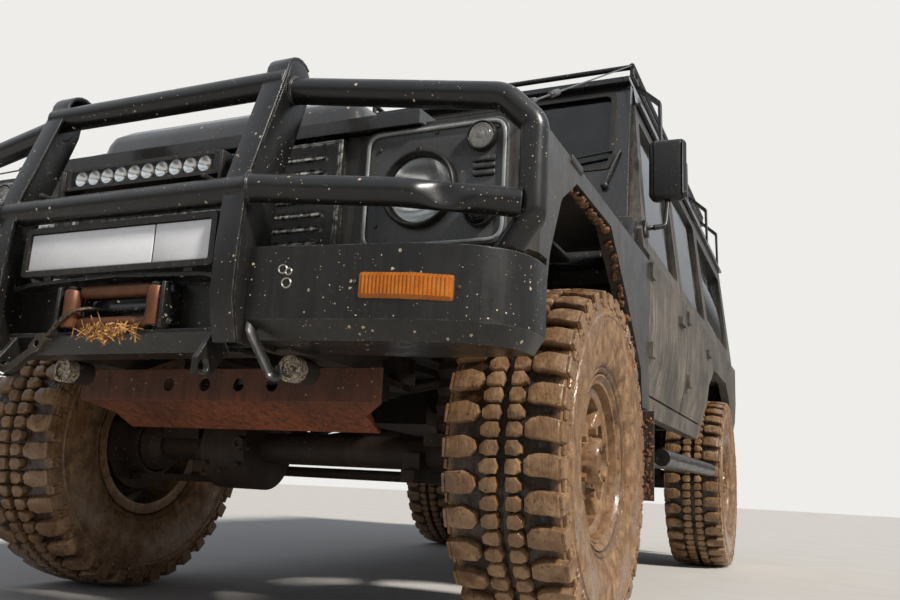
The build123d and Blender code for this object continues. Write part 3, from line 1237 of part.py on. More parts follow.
def build_nodes():
    one_tyre, one_rim = tyre(), rim()
    nodes = {
        "chassis_frame": chassis_frame(),
        "front_axle": front_axle(),
        "rear_axle": rear_axle(),
        "suspension": suspension(),
        "drivetrain": drivetrain(),
        "tank_and_exhaust": tank_and_exhaust(),
        "wings": wings(),
        "grille": grille(),
        "lamp_surrounds": lamp_surrounds(),
        "headlamps": headlamps(),
        "small_lamps": small_lamps(),
        "bonnet": bonnet(),
        "bulkhead": bulkhead(),
        "body_sides": body_sides(),
        "floor": floor(),
        "roof": roof(),
        "fixed_glass": fixed_glass(),
        "dashboard": dashboard(),
        "seats": seats(),
        "steering_wheel": steering_wheel(),
        "bull_bar": bull_bar(),
        "front_bumper": front_bumper(),
        "winch_tray": winch_tray(),
        "winch": winch(),
        "fairlead": fairlead(),
        "winch_rope": winch_rope(),
        "rope_hook": rope_hook(),
        "steering_guard": steering_guard(),
        "light_bar": light_bar(),
        "number_plate": number_plate(),
        "side_steps": side_steps(),
        "mud_flaps": mud_flaps(),
        "roof_rack": roof_rack(),
        "knuckle_left": knuckle(False),
        "knuckle_right": mirrored(knuckle(True)),
        "track_rod": track_rod(),
        "drag_link": drag_link(),
        "drop_arm": drop_arm(),
        "tail_door": tail_door(),
        "tail_glass": prism_y(shrunk(TAIL_WINDOW, SEAT_GAP), BODY_REAR_Y - 25, BODY_REAR_Y - 20, 29),
        "spare_rim": spare_at(one_rim),
        "spare_tyre": spare_at(one_tyre),
    }
    door, glass = front_door(), side_pane(FRONT_WINDOW, 700, 1600)
    rear_door, rear_glass = rear_side_door(), side_pane(REAR_WINDOW, 1500, 2500)
    for side, place in (("left", lambda s: s), ("right", mirrored)):
        nodes[f"front_door_{side}"] = place(door)
        nodes[f"front_glass_{side}"] = place(glass)
        nodes[f"rear_door_{side}"] = place(rear_door)
        nodes[f"rear_glass_{side}"] = place(rear_glass)
        nodes[f"mirror_{side}"] = place(mirror_arm())
    for end, y in (("front", 0), ("rear", WHEELBASE)):
        for side, x in (("left", WHEEL_X), ("right", -WHEEL_X)):
            nodes[f"{end}_{side}_rim"] = wheel_at(one_rim, x, y)
            nodes[f"{end}_{side}_tyre"] = wheel_at(one_tyre, x, y)
    return nodes


def main():
    os.makedirs("parts", exist_ok=True)
    for name, shape in build_nodes().items():
        solids = solids_of(shape)
        whole = solids[0] if len(solids) == 1 else Compound(children=solids)
        export_step(Pos(0, -MIDDLE_Y, 0) * whole, f"parts/{name}.step")


main()
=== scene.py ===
import math
import random

import bmesh
import bpy
from mathutils import Matrix, Vector, noise


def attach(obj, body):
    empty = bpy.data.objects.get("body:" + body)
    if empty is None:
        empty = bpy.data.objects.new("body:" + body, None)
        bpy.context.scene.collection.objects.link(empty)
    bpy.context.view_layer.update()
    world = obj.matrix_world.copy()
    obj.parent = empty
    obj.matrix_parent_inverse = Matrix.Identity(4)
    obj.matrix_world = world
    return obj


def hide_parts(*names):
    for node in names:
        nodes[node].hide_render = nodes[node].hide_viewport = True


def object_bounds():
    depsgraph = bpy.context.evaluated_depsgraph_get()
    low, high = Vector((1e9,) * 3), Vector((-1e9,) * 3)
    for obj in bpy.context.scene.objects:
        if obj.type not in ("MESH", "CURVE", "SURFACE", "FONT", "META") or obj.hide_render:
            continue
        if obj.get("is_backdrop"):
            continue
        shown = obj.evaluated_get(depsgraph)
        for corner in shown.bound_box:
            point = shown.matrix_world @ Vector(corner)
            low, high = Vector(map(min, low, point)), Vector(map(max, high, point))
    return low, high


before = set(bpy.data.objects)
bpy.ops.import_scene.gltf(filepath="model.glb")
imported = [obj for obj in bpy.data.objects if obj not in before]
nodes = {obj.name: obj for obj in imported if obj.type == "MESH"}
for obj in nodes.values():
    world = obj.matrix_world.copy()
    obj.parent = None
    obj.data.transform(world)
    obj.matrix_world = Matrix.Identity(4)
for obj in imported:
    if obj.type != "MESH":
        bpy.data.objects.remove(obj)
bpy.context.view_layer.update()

# The camera lies low at the left front corner and looks slightly up at the vehicle.
# It is a moderate wide angle, about where a crouching photographer holds it.
camera_data = bpy.data.cameras.new("photo_camera")
camera_data.lens = 33.78
camera_data.sensor_width = 36
camera = bpy.data.objects.new("photo_camera", camera_data)
camera.location = (1.3899, -3.6986, 0.3742)
camera.rotation_euler = [math.radians(angle) for angle in (102.1331, -2.9048, 23.7230)]
bpy.context.collection.objects.link(camera)
bpy.context.scene.camera = camera

# The winch rope comes off the drum, turns round the fairlead roller on the vehicle's right and
# runs down to its hook.
# It is six-strand steel rope, dark with oil and dust; its strands wind round the line it follows.
# Places are in millimetres from the front axle's middle on the ground, as the drawings give them.
front_axle_y = -1.533
rope_route = [
    (-46, -780.6, 706), (-58, -808, 706), (-76, -838, 703), (-97, -864, 692), (-122, -872, 666),
    (-152, -867, 638.8),
]
rope_radius = 0.005
rope_lay = 0.045


def at(x, y, z):
    """A place in the frame, in metres, from millimetres about the front axle."""
    return Vector((x / 1000, y / 1000 + front_axle_y, z / 1000))


def srgb(red, green, blue):
    """A colour on a 0 to 255 scale, as the linear values that shaders take."""
    return tuple(
        ((c / 255 + 0.055) / 1.055) ** 2.4
        if c > 10 else c / 3294
        for c in (red, green, blue)
    ) + (1.0,)


def darkened(colour, share):
    return tuple(c * share for c in colour[:3]) + (1.0,)


def shade(tree, kind, inputs=None, **settings):
    """A shader node with its settings and its sockets filled or wired."""
    node = tree.nodes.new("ShaderNode" + kind)
    for name, value in settings.items():
        setattr(node, name, value)
    for key, value in (inputs or {}).items():
        if isinstance(value, bpy.types.NodeSocket):
            tree.links.new(value, node.inputs[key])
        else:
            node.inputs[key].default_value = value
    return node


def feed(tree, node, **values):
    """Wires values to a node's sockets."""
    for label, value in values.items():
        tree.links.new(value, node.inputs[label.replace("_", " ")])


def mixed(tree, factor, first, second):
    return shade(tree, "Mix", {0: factor, 6: first, 7: second}, data_type="RGBA").outputs[2]


def maths(tree, operation, first, second):
    return shade(tree, "Math", {0: first, 1: second}, operation=operation).outputs[0]


def product(tree, first, second):
    return maths(tree, "MULTIPLY", first, second)


def total_of(tree, first, second):
    return maths(tree, "ADD", first, second)


def spread(tree, value, low, high, out_low=0.0, out_high=1.0):
    """A value brought from one range to another, and held there."""
    inputs = {"Value": value, "From Min": low, "From Max": high, "To Min": out_low, "To Max": out_high}
    return shade(tree, "MapRange", inputs).outputs[0]


def cloud(tree, scale, detail=3.0, rough=0.55, where=None):
    """Soft blotches in the object's own space."""
    if where is None:
        where = shade(tree, "TexCoord").outputs["Object"]
    inputs = {"Vector": where, "Scale": scale, "Detail": detail, "Roughness": rough}
    return shade(tree, "TexNoise", inputs).outputs["Fac"]


def material(name, **sockets):
    """A new material, its tree and its Principled shader with plain values set."""
    made = bpy.data.materials.new(name)
    made.use_nodes = True
    shader = made.node_tree.nodes["Principled BSDF"]
    for label, value in sockets.items():
        shader.inputs[label.replace("_", " ")].default_value = value
    return made, made.node_tree, shader


def finish_piece(name, bm, body, surface, replaced=(), smooth=40):
    """Closes a bmesh into a piece that rides on a body of the frame."""
    mesh = bpy.data.meshes.new(name)
    bm.to_mesh(mesh)
    bm.free()
    mesh.materials.append(surface)
    made = bpy.data.objects.new(name, mesh)
    bpy.context.collection.objects.link(made)
    mesh.shade_smooth()
    mesh.set_sharp_from_angle(angle=math.radians(smooth))
    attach(made, body)
    if replaced:
        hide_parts(*replaced)
    return made


def line_through(points, name, steps=12):
    """The smooth line that a route's control points give."""
    curve = bpy.data.curves.new(name, "CURVE")
    curve.dimensions = "3D"
    curve.resolution_u = steps
    spline = curve.splines.new("NURBS")
    spline.points.add(len(points) - 1)
    for point, place in zip(spline.points, points):
        point.co = (*at(*place), 1)
    spline.order_u = 3
    spline.use_endpoint_u = True
    bare = bpy.data.objects.new(name, curve)
    bpy.context.collection.objects.link(bare)
    mesh = bpy.data.meshes.new_from_object(bare)
    line = [v.co.copy() for v in mesh.vertices]
    bpy.data.objects.remove(bare)
    bpy.data.meshes.remove(mesh)
    return line


def outward(bm):
    bmesh.ops.recalc_face_normals(bm, faces=bm.faces)


def sweep(bm, line, radius, sides, turn_per_metre=0.0):
    """Rings along a line, joined to a closed tube; the radius may be a function of the angle round it."""
    side = (line[1] - line[0]).cross(Vector((0.3, 0.1, 1))).normalized()
    rings = []
    gone = 0.0
    for k, point in enumerate(line):
        along = (line[min(k + 1, len(line) - 1)] - line[max(k - 1, 0)]).normalized()
        side = (side - along * side.dot(along)).normalized()
        up = along.cross(side)
        if k:
            gone += (point - line[k - 1]).length
        made = bmesh.ops.create_circle(bm, segments=sides, radius=1.0)["verts"]
        for n, v in enumerate(made):
            angle = 2 * math.pi * n / sides
            turned = angle + gone * turn_per_metre * 2 * math.pi
            reach = radius(angle) if callable(radius) else radius
            v.co = point + (side * math.cos(turned) + up * math.sin(turned)) * reach
        rings.append(list(set(e for v in made for e in v.link_edges)))
    for first, second in zip(rings, rings[1:]):
        bmesh.ops.bridge_loops(bm, edges=first + second)
    bmesh.ops.holes_fill(bm, edges=rings[0] + rings[-1], sides=0)
    outward(bm)


rope_steel, tree, shader = material("oiled_rope", Metallic=0.7)
dirt = cloud(tree, 220, 4)
rope_colour = mixed(tree, spread(tree, dirt, 0.45, 0.65), srgb(44, 42, 42), srgb(126, 108, 88))
feed(tree, shader, Base_Color=rope_colour, Roughness=spread(tree, dirt, 0.4, 0.7, 0.38, 0.75))

rope_line = line_through(rope_route, "rope_line")
bm = bmesh.new()
sweep(
    bm, rope_line, lambda angle: rope_radius * (0.8 + 0.2 * abs(math.cos(3 * angle))), 36, 1 / rope_lay,
)
rope = finish_piece("winch_rope_strands", bm, "body", rope_steel, ["winch_rope"])

# Plain soft studio: a broad sun from the upper right of the picture, pale surroundings and a pale floor.
# The floor is marked as the stage, so it isn't part of the vehicle.
key_data = bpy.data.lights.new("broad_sun", "SUN")
key_data.energy = 3.7
key_data.angle = math.radians(6)
key_data.color = (1.0, 0.955, 0.89)
key = bpy.data.objects.new("broad_sun", key_data)
key.rotation_euler = Vector((0.80, -0.30, 0.74)).to_track_quat("Z", "Y").to_euler()
bpy.context.collection.objects.link(key)

surround = bpy.data.worlds.new("pale_studio")
bpy.context.scene.world = surround
surround.use_nodes = True
tree = surround.node_tree
tree.nodes.clear()
seen = shade(tree, "LightPath").outputs
through = maths(tree, "MAXIMUM", seen["Is Glossy Ray"], seen["Is Transmission Ray"])
height = shade(tree, "SeparateXYZ", {0: shade(tree, "TexCoord").outputs["Generated"]}).outputs["Z"]
walls = mixed(tree, spread(tree, height, 0.05, 0.55), srgb(104, 102, 98), srgb(236, 240, 246))
lit = mixed(tree, through, srgb(122, 127, 136), walls)
lit = mixed(tree, seen["Is Camera Ray"], lit, srgb(238, 237, 234))
glow = shade(tree, "Background", {"Color": lit, "Strength": 1.0})
feed(tree, shade(tree, "OutputWorld"), Surface=glow.outputs[0])

bm = bmesh.new()
bmesh.ops.create_circle(bm, cap_ends=True, segments=96, radius=26)
floor_mesh = bpy.data.meshes.new("studio_floor")
bm.to_mesh(floor_mesh)
bm.free()
floor_surface, tree, shader = material("pale_floor", Roughness=0.9)
grain = cloud(tree, 3.0, 4)
feed(tree, shader, Base_Color=mixed(tree, grain, srgb(204, 200, 194), srgb(220, 217, 211)))
floor_mesh.materials.append(floor_surface)
floor = bpy.data.objects.new("studio_floor", floor_mesh)
bpy.context.collection.objects.link(floor)
floor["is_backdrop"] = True

bpy.context.scene.view_settings.view_transform = "Standard"

# Tyres: mud-terrain rubber buried in wet clay, which lies smooth on the lugs; the hollows between them are
# darkened with painted shade.
# Big shoulder lugs, two centre rows of small blocks and stepped side biters stand on one carcass.
rear_axle_y = front_axle_y + 2.794
axle_z = 0.445
track_half = 0.743
lug_pitches = 35
tyre_top_r = 0.4447
tyre_root_r = 0.4235
tread_rolling_r = 0.44


def effect(name, numbers, outputs):
    """An empty node group with its named inputs and outputs."""
    group = bpy.data.node_groups.new(name, "ShaderNodeTree")
    for label, value in numbers.items():
        group.interface.new_socket(label, in_out="INPUT", socket_type="NodeSocketFloat").default_value = value
    for label, kind in outputs.items():
        group.interface.new_socket(label, in_out="OUTPUT", socket_type="NodeSocket" + kind)
    return group, group.nodes.new("NodeGroupInput"), group.nodes.new("NodeGroupOutput")


def use(tree, group, **numbers):
    """A node group placed in a material with its own values."""
    node = shade(tree, "Group", node_tree=group)
    for label, value in numbers.items():
        node.inputs[label.replace("_", " ")].default_value = value
    return node


def mud_and_shade_group():
    """Wet clay: smooth tan on the crests, with drips and glossy wet patches; the hollows get painted shade,
    near black to dark brown.
    """
    tree, given, result = effect(
        "wet_mud_with_painted_shade", {"Wetness": 0.5, "Depth": 1.0},
        {"Color": "Color", "Roughness": "Float", "Height": "Float"},
    )
    place = shade(tree, "TexCoord").outputs["Object"]
    broad = cloud(tree, 6, 5)
    middle = cloud(tree, 26, 5, 0.6)
    fine = cloud(tree, 120, 5, 0.6)
    drip_place = shade(tree, "Mapping", {"Vector": place, "Scale": (85.0, 85.0, 17.0)}).outputs[0]
    drips = cloud(tree, 1.0, 4, 0.55, drip_place)
    base = mixed(tree, spread(tree, broad, 0.35, 0.66), srgb(98, 70, 47), srgb(152, 116, 82))
    base = mixed(tree, spread(tree, middle, 0.42, 0.74), base, srgb(176, 142, 104))
    # Near black to dark brown: painted shade for the hollows, where Depth is low.
    dark = mixed(tree, spread(tree, middle, 0.35, 0.65), srgb(18, 12, 9), srgb(50, 33, 22))
    body = mixed(tree, spread(tree, given.outputs["Depth"], 0.15, 0.8), dark, base)
    body = mixed(tree, spread(tree, fine, 0.40, 0.33), body, srgb(74, 50, 32))
    wet = spread(tree, total_of(tree, broad, product(tree, drips, 0.35)), 0.60, 0.72)
    wet = product(tree, wet, given.outputs["Wetness"])
    body = mixed(tree, product(tree, wet, 0.35), body, srgb(84, 56, 36))
    rough = spread(tree, wet, 0.0, 1.0, 0.74, 0.13)
    tall = total_of(tree, product(tree, middle, 0.55), product(tree, drips, 0.5))
    tall = total_of(tree, tall, product(tree, fine, 0.16))
    feed(tree, result, Color=body, Roughness=rough, Height=tall)
    return tree


wet_mud_with_painted_shade = mud_and_shade_group()


def mud_material(name, wetness, height_layer, bump_depth):
    """Mud over rubber or metal; a layer on the mesh says how deep each place lies, and the deep places take
    the mud's painted shade.
    """
    made, tree, shader = material(name, Metallic=0.0)
    mud = use(tree, wet_mud_with_painted_shade, Wetness=wetness)
    if height_layer:
        feed(tree, mud, Depth=shade(tree, "Attribute", attribute_name=height_layer).outputs["Fac"])
    bump = shade(tree, "Bump", {"Height": mud.outputs["Height"], "Strength": 1.0, "Distance": bump_depth})
    look = mud.outputs
    feed(tree, shader, Base_Color=look["Color"], Roughness=look["Roughness"], Normal=bump.outputs[0])
    return made


def everything(bm):
    return list(bm.verts) + list(bm.edges) + list(bm.faces)


def drawn_copy(bm, faces):
    """Faces drawn out in place, where the old ones stay too; gives the new faces and their corners."""
    drawn = bmesh.ops.extrude_face_region(bm, geom=faces)["geom"]
    new_faces = [f for f in drawn if isinstance(f, bmesh.types.BMFace)]
    return new_faces, [v for v in drawn if isinstance(v, bmesh.types.BMVert)]


def drawn_out(bm, outline):
    """A face from its corners, drawn out in place; gives the new face and its corners."""
    new_faces, corners = drawn_copy(bm, [bm.faces.new([bm.verts.new(corner) for corner in outline])])
    return new_faces[0], corners


def rounded(bm, edges, width, segments=2):
    bmesh.ops.bevel(
        bm, geom=list(edges), offset=width, offset_type="OFFSET", segments=segments, profile=0.5,
        affect="EDGES", material=-1,
    )


def poured(bm, part_bm):
    """Adds one bmesh to another and frees it."""
    part = bpy.data.meshes.new("part")
    part_bm.to_mesh(part)
    part_bm.free()
    bm.from_mesh(part)
    bpy.data.meshes.remove(part)


def settled(bm, one):
    """Adds a form whose faces are first set to look outwards."""
    outward(one)
    poured(bm, one)


def set_round(bm, one, count, phase=0.0):
    """Sets copies of one form round the wheel's axis."""
    bmesh.ops.rotate(one, verts=one.verts, matrix=Matrix.Rotation(-phase, 3, "X"))
    outward(one)
    bmesh.ops.spin(
        one, geom=everything(one), cent=(0, 0, 0), axis=(1, 0, 0), angle=2 * math.pi * (count - 1) / count,
        steps=count - 1, use_duplicate=True,
    )
    poured(bm, one)


def bend_to_wheel(one, crown):
    """Wraps blocks drawn flat round the wheel, with the tread's crown."""
    for v in one.verts:
        across, along, radius = v.co
        radius -= crown * (abs(across) / 0.13) ** 3
        angle = along / tread_rolling_r
        v.co = (across, -radius * math.cos(angle), radius * math.sin(angle))


def lug_ring(bm, outline, bow, count, phase):
    """Tread blocks of one shape: their outline across and along the tread, drawn out and rounded."""
    one = bmesh.new()
    middle = sum(x for x, s in outline) / len(outline)
    reach = max(abs(x - middle) for x, s in outline)
    corners = [(x, s + bow * (1 - ((x - middle) / reach) ** 2), tyre_root_r - 0.004) for x, s in outline]
    face, top = drawn_out(one, corners)
    centre = face.calc_center_median()
    for v in top:
        v.co.z = tyre_top_r
        v.co.x += (centre.x - v.co.x) * 0.06
        v.co.y += (centre.y - v.co.y) * 0.08
    rounded(one, face.edges, 0.0042)
    bend_to_wheel(one, 0.009)
    set_round(bm, one, count, phase)


def side_blocks(bm, side, outline, low_r, thick, count, phase):
    """Blocks on the sidewall below the shoulder, standing out sideways."""
    one = bmesh.new()
    foot = 0.1335
    face, top = drawn_out(
        one, [(side * (foot - 0.07 * reach), along, low_r + reach) for reach, along in outline],
    )
    for v in top:
        v.co.x += side * (thick + 0.003)
    rounded(one, face.edges, 0.0022, 1)
    for v in one.verts:
        angle = v.co.y / tread_rolling_r
        v.co = (v.co.x, -v.co.z * math.cos(angle), v.co.z * math.sin(angle))
    set_round(bm, one, count, phase)


def spun(bm, profile, steps):
    """A round form about the X axis from a profile of distances out and radii, in millimetres."""
    verts = [bm.verts.new((x / 1000, 0, r / 1000)) for x, r in profile]
    edges = [bm.edges.new(pair) for pair in zip(verts, verts[1:])]
    bmesh.ops.spin(
        bm, geom=verts + edges, cent=(0, 0, 0), axis=(1, 0, 0), angle=2 * math.pi, steps=steps,
        use_merge=True,
    )


sidewall = [
    (100, 216), (111, 222), (119, 229), (122.5, 236), (119.5, 239.5), (123.5, 242.5), (129, 252),
    (135.5, 272), (140, 300), (141.5, 325), (141.8, 350), (141.2, 368), (143.5, 371), (143.5, 376),
    (139.5, 379), (137.5, 396), (133.5, 412), (126, 420.5), (100, 422.5), (50, 423.2),
]
shoulder_lug = [
    (0.0535, -0.017), (0.066, -0.0250), (0.085, -0.0280), (0.104, -0.0290), (0.1345, -0.0290),
    (0.1345, 0.0255), (0.104, 0.0255), (0.085, 0.0248), (0.066, 0.0215), (0.0535, 0.012),
]
inner_lug = [
    (-0.133, -0.0235), (-0.098, -0.0285), (-0.066, -0.024), (-0.052, -0.006), (-0.057, 0.016),
    (-0.088, 0.0255), (-0.133, 0.0245),
]
small_outer = [
    (0.013, -0.0165), (0.036, -0.0190), (0.0505, -0.011), (0.0510, 0.004), (0.038, 0.0180),
    (0.016, 0.0165), (0.011, 0.002),
]
small_inner = [
    (-0.047, -0.013), (-0.030, -0.0190), (-0.008, -0.0165), (-0.003, 0.0), (-0.009, 0.0180),
    (-0.034, 0.0175), (-0.049, 0.005),
]
side_biter = [
    (0.0, -0.0205), (0.010, -0.0235), (0.030, -0.024), (0.042, -0.0225), (0.042, 0.0195),
    (0.030, 0.021), (0.010, 0.0215), (0.0, 0.0185),
]
side_stud = [(0.0, -0.0055), (0.011, -0.0055), (0.011, 0.0055), (0.0, 0.0055)]


def tyre_form():
    """The whole tyre about the X axis, its outer side towards plus X."""
    bm = bmesh.new()
    pitch = 2 * math.pi / lug_pitches
    spun(bm, [(-x, r) for x, r in sidewall] + [(x, r) for x, r in reversed(sidewall)], 140)
    outward(bm)
    lug_ring(bm, shoulder_lug, 0.007, lug_pitches, math.radians(6))
    lug_ring(bm, inner_lug, 0.004, lug_pitches, math.radians(0.6))
    lug_ring(bm, small_outer, 0.0, 2 * lug_pitches, math.radians(0.9))
    lug_ring(bm, small_inner, 0.0, 2 * lug_pitches, math.radians(0.7))
    for side, phase in ((1, math.radians(6)), (-1, math.radians(0.6))):
        side_blocks(bm, side, side_biter, 0.3925, 0.0052, lug_pitches, phase)
        for low_r, place in ((0.3840, 0.36), (0.3840, 0.60), (0.4050, 0.44), (0.4050, 0.58)):
            side_blocks(bm, side, side_stud, low_r, 0.0049, lug_pitches, phase + place * pitch)
    height = bm.verts.layers.float.new("lug_height")
    bm.normal_update()
    for v in bm.verts:
        radius = math.hypot(v.co.y, v.co.z)
        on_tread = abs(v.co.x) < 0.128
        v[height] = min(1.0, max(0.0, (radius - 0.424) / 0.014)) if on_tread else 1.0
        if on_tread and abs(v.co.x) > 0.118:
            v[height] = max(v[height], 0.6)
        if radius > 0.25:
            v.co += v.normal * (noise.noise(v.co * 34) * 0.0017 + noise.noise(v.co * 90) * 0.0008)
        now = math.hypot(v.co.y, v.co.z)
        if now > tyre_top_r:
            v.co.y *= tyre_top_r / now
            v.co.z *= tyre_top_r / now
    return bm


wheels = {
    "front_left": ("front_left_wheel", Vector((track_half, front_axle_y, axle_z)), 0),
    "front_right": ("front_right_wheel", Vector((-track_half, front_axle_y, axle_z)), 180),
    "rear_left": ("rear_left_wheel", Vector((track_half, rear_axle_y, axle_z)), 0),
    "rear_right": ("rear_right_wheel", Vector((-track_half, rear_axle_y, axle_z)), 180),
    "spare": ("tail_door", Vector((0.038, front_axle_y + 3.814, 1.190)), 90),
}


def on_every_wheel(bm, what, surface, smooth):
    """Copies a wheel form to the four corners and the spare, each placed in its own mesh."""
    pattern = bpy.data.meshes.new(what + "_pattern")
    bm.to_mesh(pattern)
    bm.free()
    for where, (body, centre, turn) in wheels.items():
        bm = bmesh.new()
        bm.from_mesh(pattern)
        bmesh.ops.rotate(bm, verts=bm.verts, matrix=Matrix.Rotation(math.radians(turn), 3, "Z"))
        bmesh.ops.translate(bm, verts=bm.verts, vec=centre)
        finish_piece(f"{where}_{what}_detail", bm, body, surface, [f"{where}_{what}"], smooth)
    bpy.data.meshes.remove(pattern)


tyre_mud_and_painted_shade = mud_material("tyre_mud_and_painted_shade", 1.0, "lug_height", 0.006)
on_every_wheel(tyre_form(), "tyre", tyre_mud_and_painted_shade, 35)

# Rims: dished alloy wheels with eight spokes, a stepped lip and a hub that stands out, all coated in mud,
# with painted shade on the drum and hub behind the spokes.
# Five nuts hold each one, and the drive flange's bolts sit round its hub.
rim_lip = [
    (-112, 205), (-115.5, 221), (-105, 221), (-100, 203), (100, 203), (105, 220.5), (115.5, 221.5),
    (116.5, 216.5), (112, 212.5), (106, 209.5), (104, 204.5), (108, 201.5), (106, 197.5), (94, 194),
    (80, 191.5), (70, 190.5), (0, 190), (-112, 190), (-112, 205),
]
rim_ring = [(52, 192), (84, 192), (87.5, 186), (85, 176), (78, 169), (52, 169), (52, 192)]
hub_ring = [
    (30, 104), (60, 106), (70, 99), (73, 90), (73, 66), (78, 60), (112, 57), (118, 53), (118, 40),
    (105, 36), (105, 1), (30, 1), (30, 104),
]
drum = [(-20, 1), (-20, 168), (20, 170), (26, 160), (28, 100), (34, 98)]
spoke = [
    (0.092, -0.019), (0.125, -0.020), (0.155, -0.027), (0.180, -0.044), (0.180, 0.044), (0.155, 0.027),
    (0.125, 0.020), (0.092, 0.019),
]
spoke_count = 8


def rim_form():
    bm = bmesh.new()
    for profile in (rim_lip, rim_ring, hub_ring, drum):
        spun(bm, profile, 96)
    bmesh.ops.remove_doubles(bm, verts=bm.verts, dist=0.00002)
    one = bmesh.new()
    face, top = drawn_out(one, [(0.040, across, radius) for radius, across in spoke])
    for v in top:
        v.co.x += 0.028 + 0.014 * (v.co.z - 0.095) / 0.083
        v.co.y *= 0.74
    rounded(one, face.edges, 0.006, 3)
    set_round(bm, one, spoke_count)
    for count, ring_r, bolt_r, x0, x1 in ((5, 0.0835, 0.0135, 0.070, 0.094), (5, 0.046, 0.008, 0.114, 0.123)):
        one = bmesh.new()
        place = Matrix.Translation((x0 / 2 + x1 / 2, 0, ring_r)) @ Matrix.Rotation(math.radians(90), 4, "Y")
        bmesh.ops.create_cone(
            one, cap_ends=True, segments=6, radius1=bolt_r, radius2=bolt_r * 0.86, depth=x1 - x0,
            matrix=place,
        )
        set_round(bm, one, count, 0.4)
    outward(bm)
    bm.normal_update()
    deep = bm.verts.layers.float.new("rim_painted_shade_depth")
    for v in bm.verts:
        # Places behind the spokes get the mud's darkest colour as painted shade.
        behind = v.co.x < 0.036 and math.hypot(v.co.y, v.co.z) < 0.185
        v[deep] = 0.0 if behind else 1.0
        v.co += v.normal * noise.noise(v.co * 60) * 0.0011
    return bm


rim_mud_and_painted_shade = mud_material("rim_mud_and_painted_shade", 1.0, "rim_painted_shade_depth", 0.003)
on_every_wheel(rim_form(), "rim", rim_mud_and_painted_shade, 40)

# Chassis, axles, springs and drive line: black-painted steel under dried brown mud, whose darker shadow
# browns are painted shade under the body.
# They hang below the body on the rails, and little of their paint still shows.


def speck_group():
    """Specks of mud thrown on a surface: irregular, in loose drifts, a few large among many fine ones."""
    tree, given, result = effect(
        "thrown_specks", {"Rate": 60.0, "Cover": 0.4, "Size": 0.22}, {"Mask": "Float", "Tone": "Float"},
    )
    place = shade(tree, "TexCoord").outputs["Object"]
    ragged = shade(tree, "TexNoise", {"Vector": place, "Scale": 210.0, "Detail": 2.0}).outputs["Color"]
    ragged = shade(tree, "VectorMath", {0: ragged, 3: 0.0042}, operation="SCALE").outputs[0]
    place = shade(tree, "VectorMath", {0: place, 1: ragged}, operation="ADD").outputs[0]
    drift = spread(tree, cloud(tree, 4.2, 4, 0.6), 0.36, 0.64, 0.12, 1.5)
    cover = product(tree, given.outputs["Cover"], drift)
    total = tone = None
    for step in (1.0, 2.6):
        cells = shade(
            tree, "TexVoronoi", {"Vector": place, "Scale": product(tree, given.outputs["Rate"], step)},
        )
        chance = shade(tree, "SeparateColor", {0: cells.outputs["Color"]}).outputs
        there = maths(tree, "LESS_THAN", chance[0], cover)
        big = product(tree, maths(tree, "POWER", chance[1], 2.2), given.outputs["Size"])
        reach = total_of(tree, product(tree, given.outputs["Size"], 0.28), big)
        spot = spread(tree, maths(tree, "SUBTRACT", reach, cells.outputs["Distance"]), 0.0, 0.035)
        spot = product(tree, spot, there)
        total = spot if total is None else maths(tree, "MAXIMUM", total, spot)
        tone = chance[2] if tone is None else total_of(
            tree, product(tree, tone, 0.5), product(tree, chance[2], 0.5),
        )
    feed(tree, result, Mask=total, Tone=tone)
    return tree


def film_group():
    """A film of dust: cloudy, in upright streaks, thicker low down and on faces that look up."""
    tree, given, result = effect("dust_film", {"Amount": 0.5, "Low": 0.3, "High": 1.4}, {"Mask": "Float"})
    place = shade(tree, "TexCoord").outputs["Object"]
    parts = shade(tree, "SeparateXYZ", {0: place}).outputs
    inputs = {
        "Value": parts["Z"], "From Min": given.outputs["Low"], "From Max": given.outputs["High"],
        "To Min": 1.0, "To Max": 0.2,
    }
    low = shade(tree, "MapRange", inputs).outputs[0]
    facing = shade(tree, "SeparateXYZ", {0: shade(tree, "NewGeometry").outputs["Normal"]}).outputs["Z"]
    level = spread(tree, facing, 0.1, 0.95, 0.0, 0.45)
    streak_place = shade(tree, "Mapping", {"Vector": place, "Scale": (64.0, 64.0, 4.5)}).outputs[0]
    streak = spread(tree, cloud(tree, 1.0, 5, 0.65, streak_place), 0.36, 0.64, 0.35, 1.35)
    patch = spread(tree, cloud(tree, 3.1, 5, 0.6), 0.38, 0.64, 0.45, 1.25)
    grain = spread(tree, cloud(tree, 300, 2, 0.7), 0.3, 0.7, 0.7, 1.25)
    thick = product(tree, total_of(tree, low, level), given.outputs["Amount"])
    thick = product(tree, product(tree, thick, streak), product(tree, patch, grain))
    feed(tree, result, Mask=spread(tree, thick, 0.0, 1.0))
    return tree


def edge_group():
    """Rounded edges, and where they have rubbed bare."""
    tree, given, result = effect(
        "rubbed_edge", {"Width": 0.003, "Rub": 0.6}, {"Mask": "Float", "Normal": "Vector"},
    )
    soft = shade(tree, "Bevel", {"Radius": given.outputs["Width"]}, samples=4).outputs[0]
    plain = shade(tree, "NewGeometry").outputs["Normal"]
    bent = shade(tree, "VectorMath", {0: soft, 1: plain}, operation="DOT_PRODUCT").outputs["Value"]
    near = spread(tree, bent, 0.985, 0.90)
    broken = spread(tree, cloud(tree, 70, 5, 0.7), 0.44, 0.6)
    rubbed = product(tree, product(tree, near, broken), given.outputs["Rub"])
    feed(tree, result, Mask=rubbed, Normal=soft)
    return tree


thrown_specks = speck_group()
dust_film = film_group()
rubbed_edge = edge_group()
cream = srgb(205, 190, 166)
speck_share = 0.42


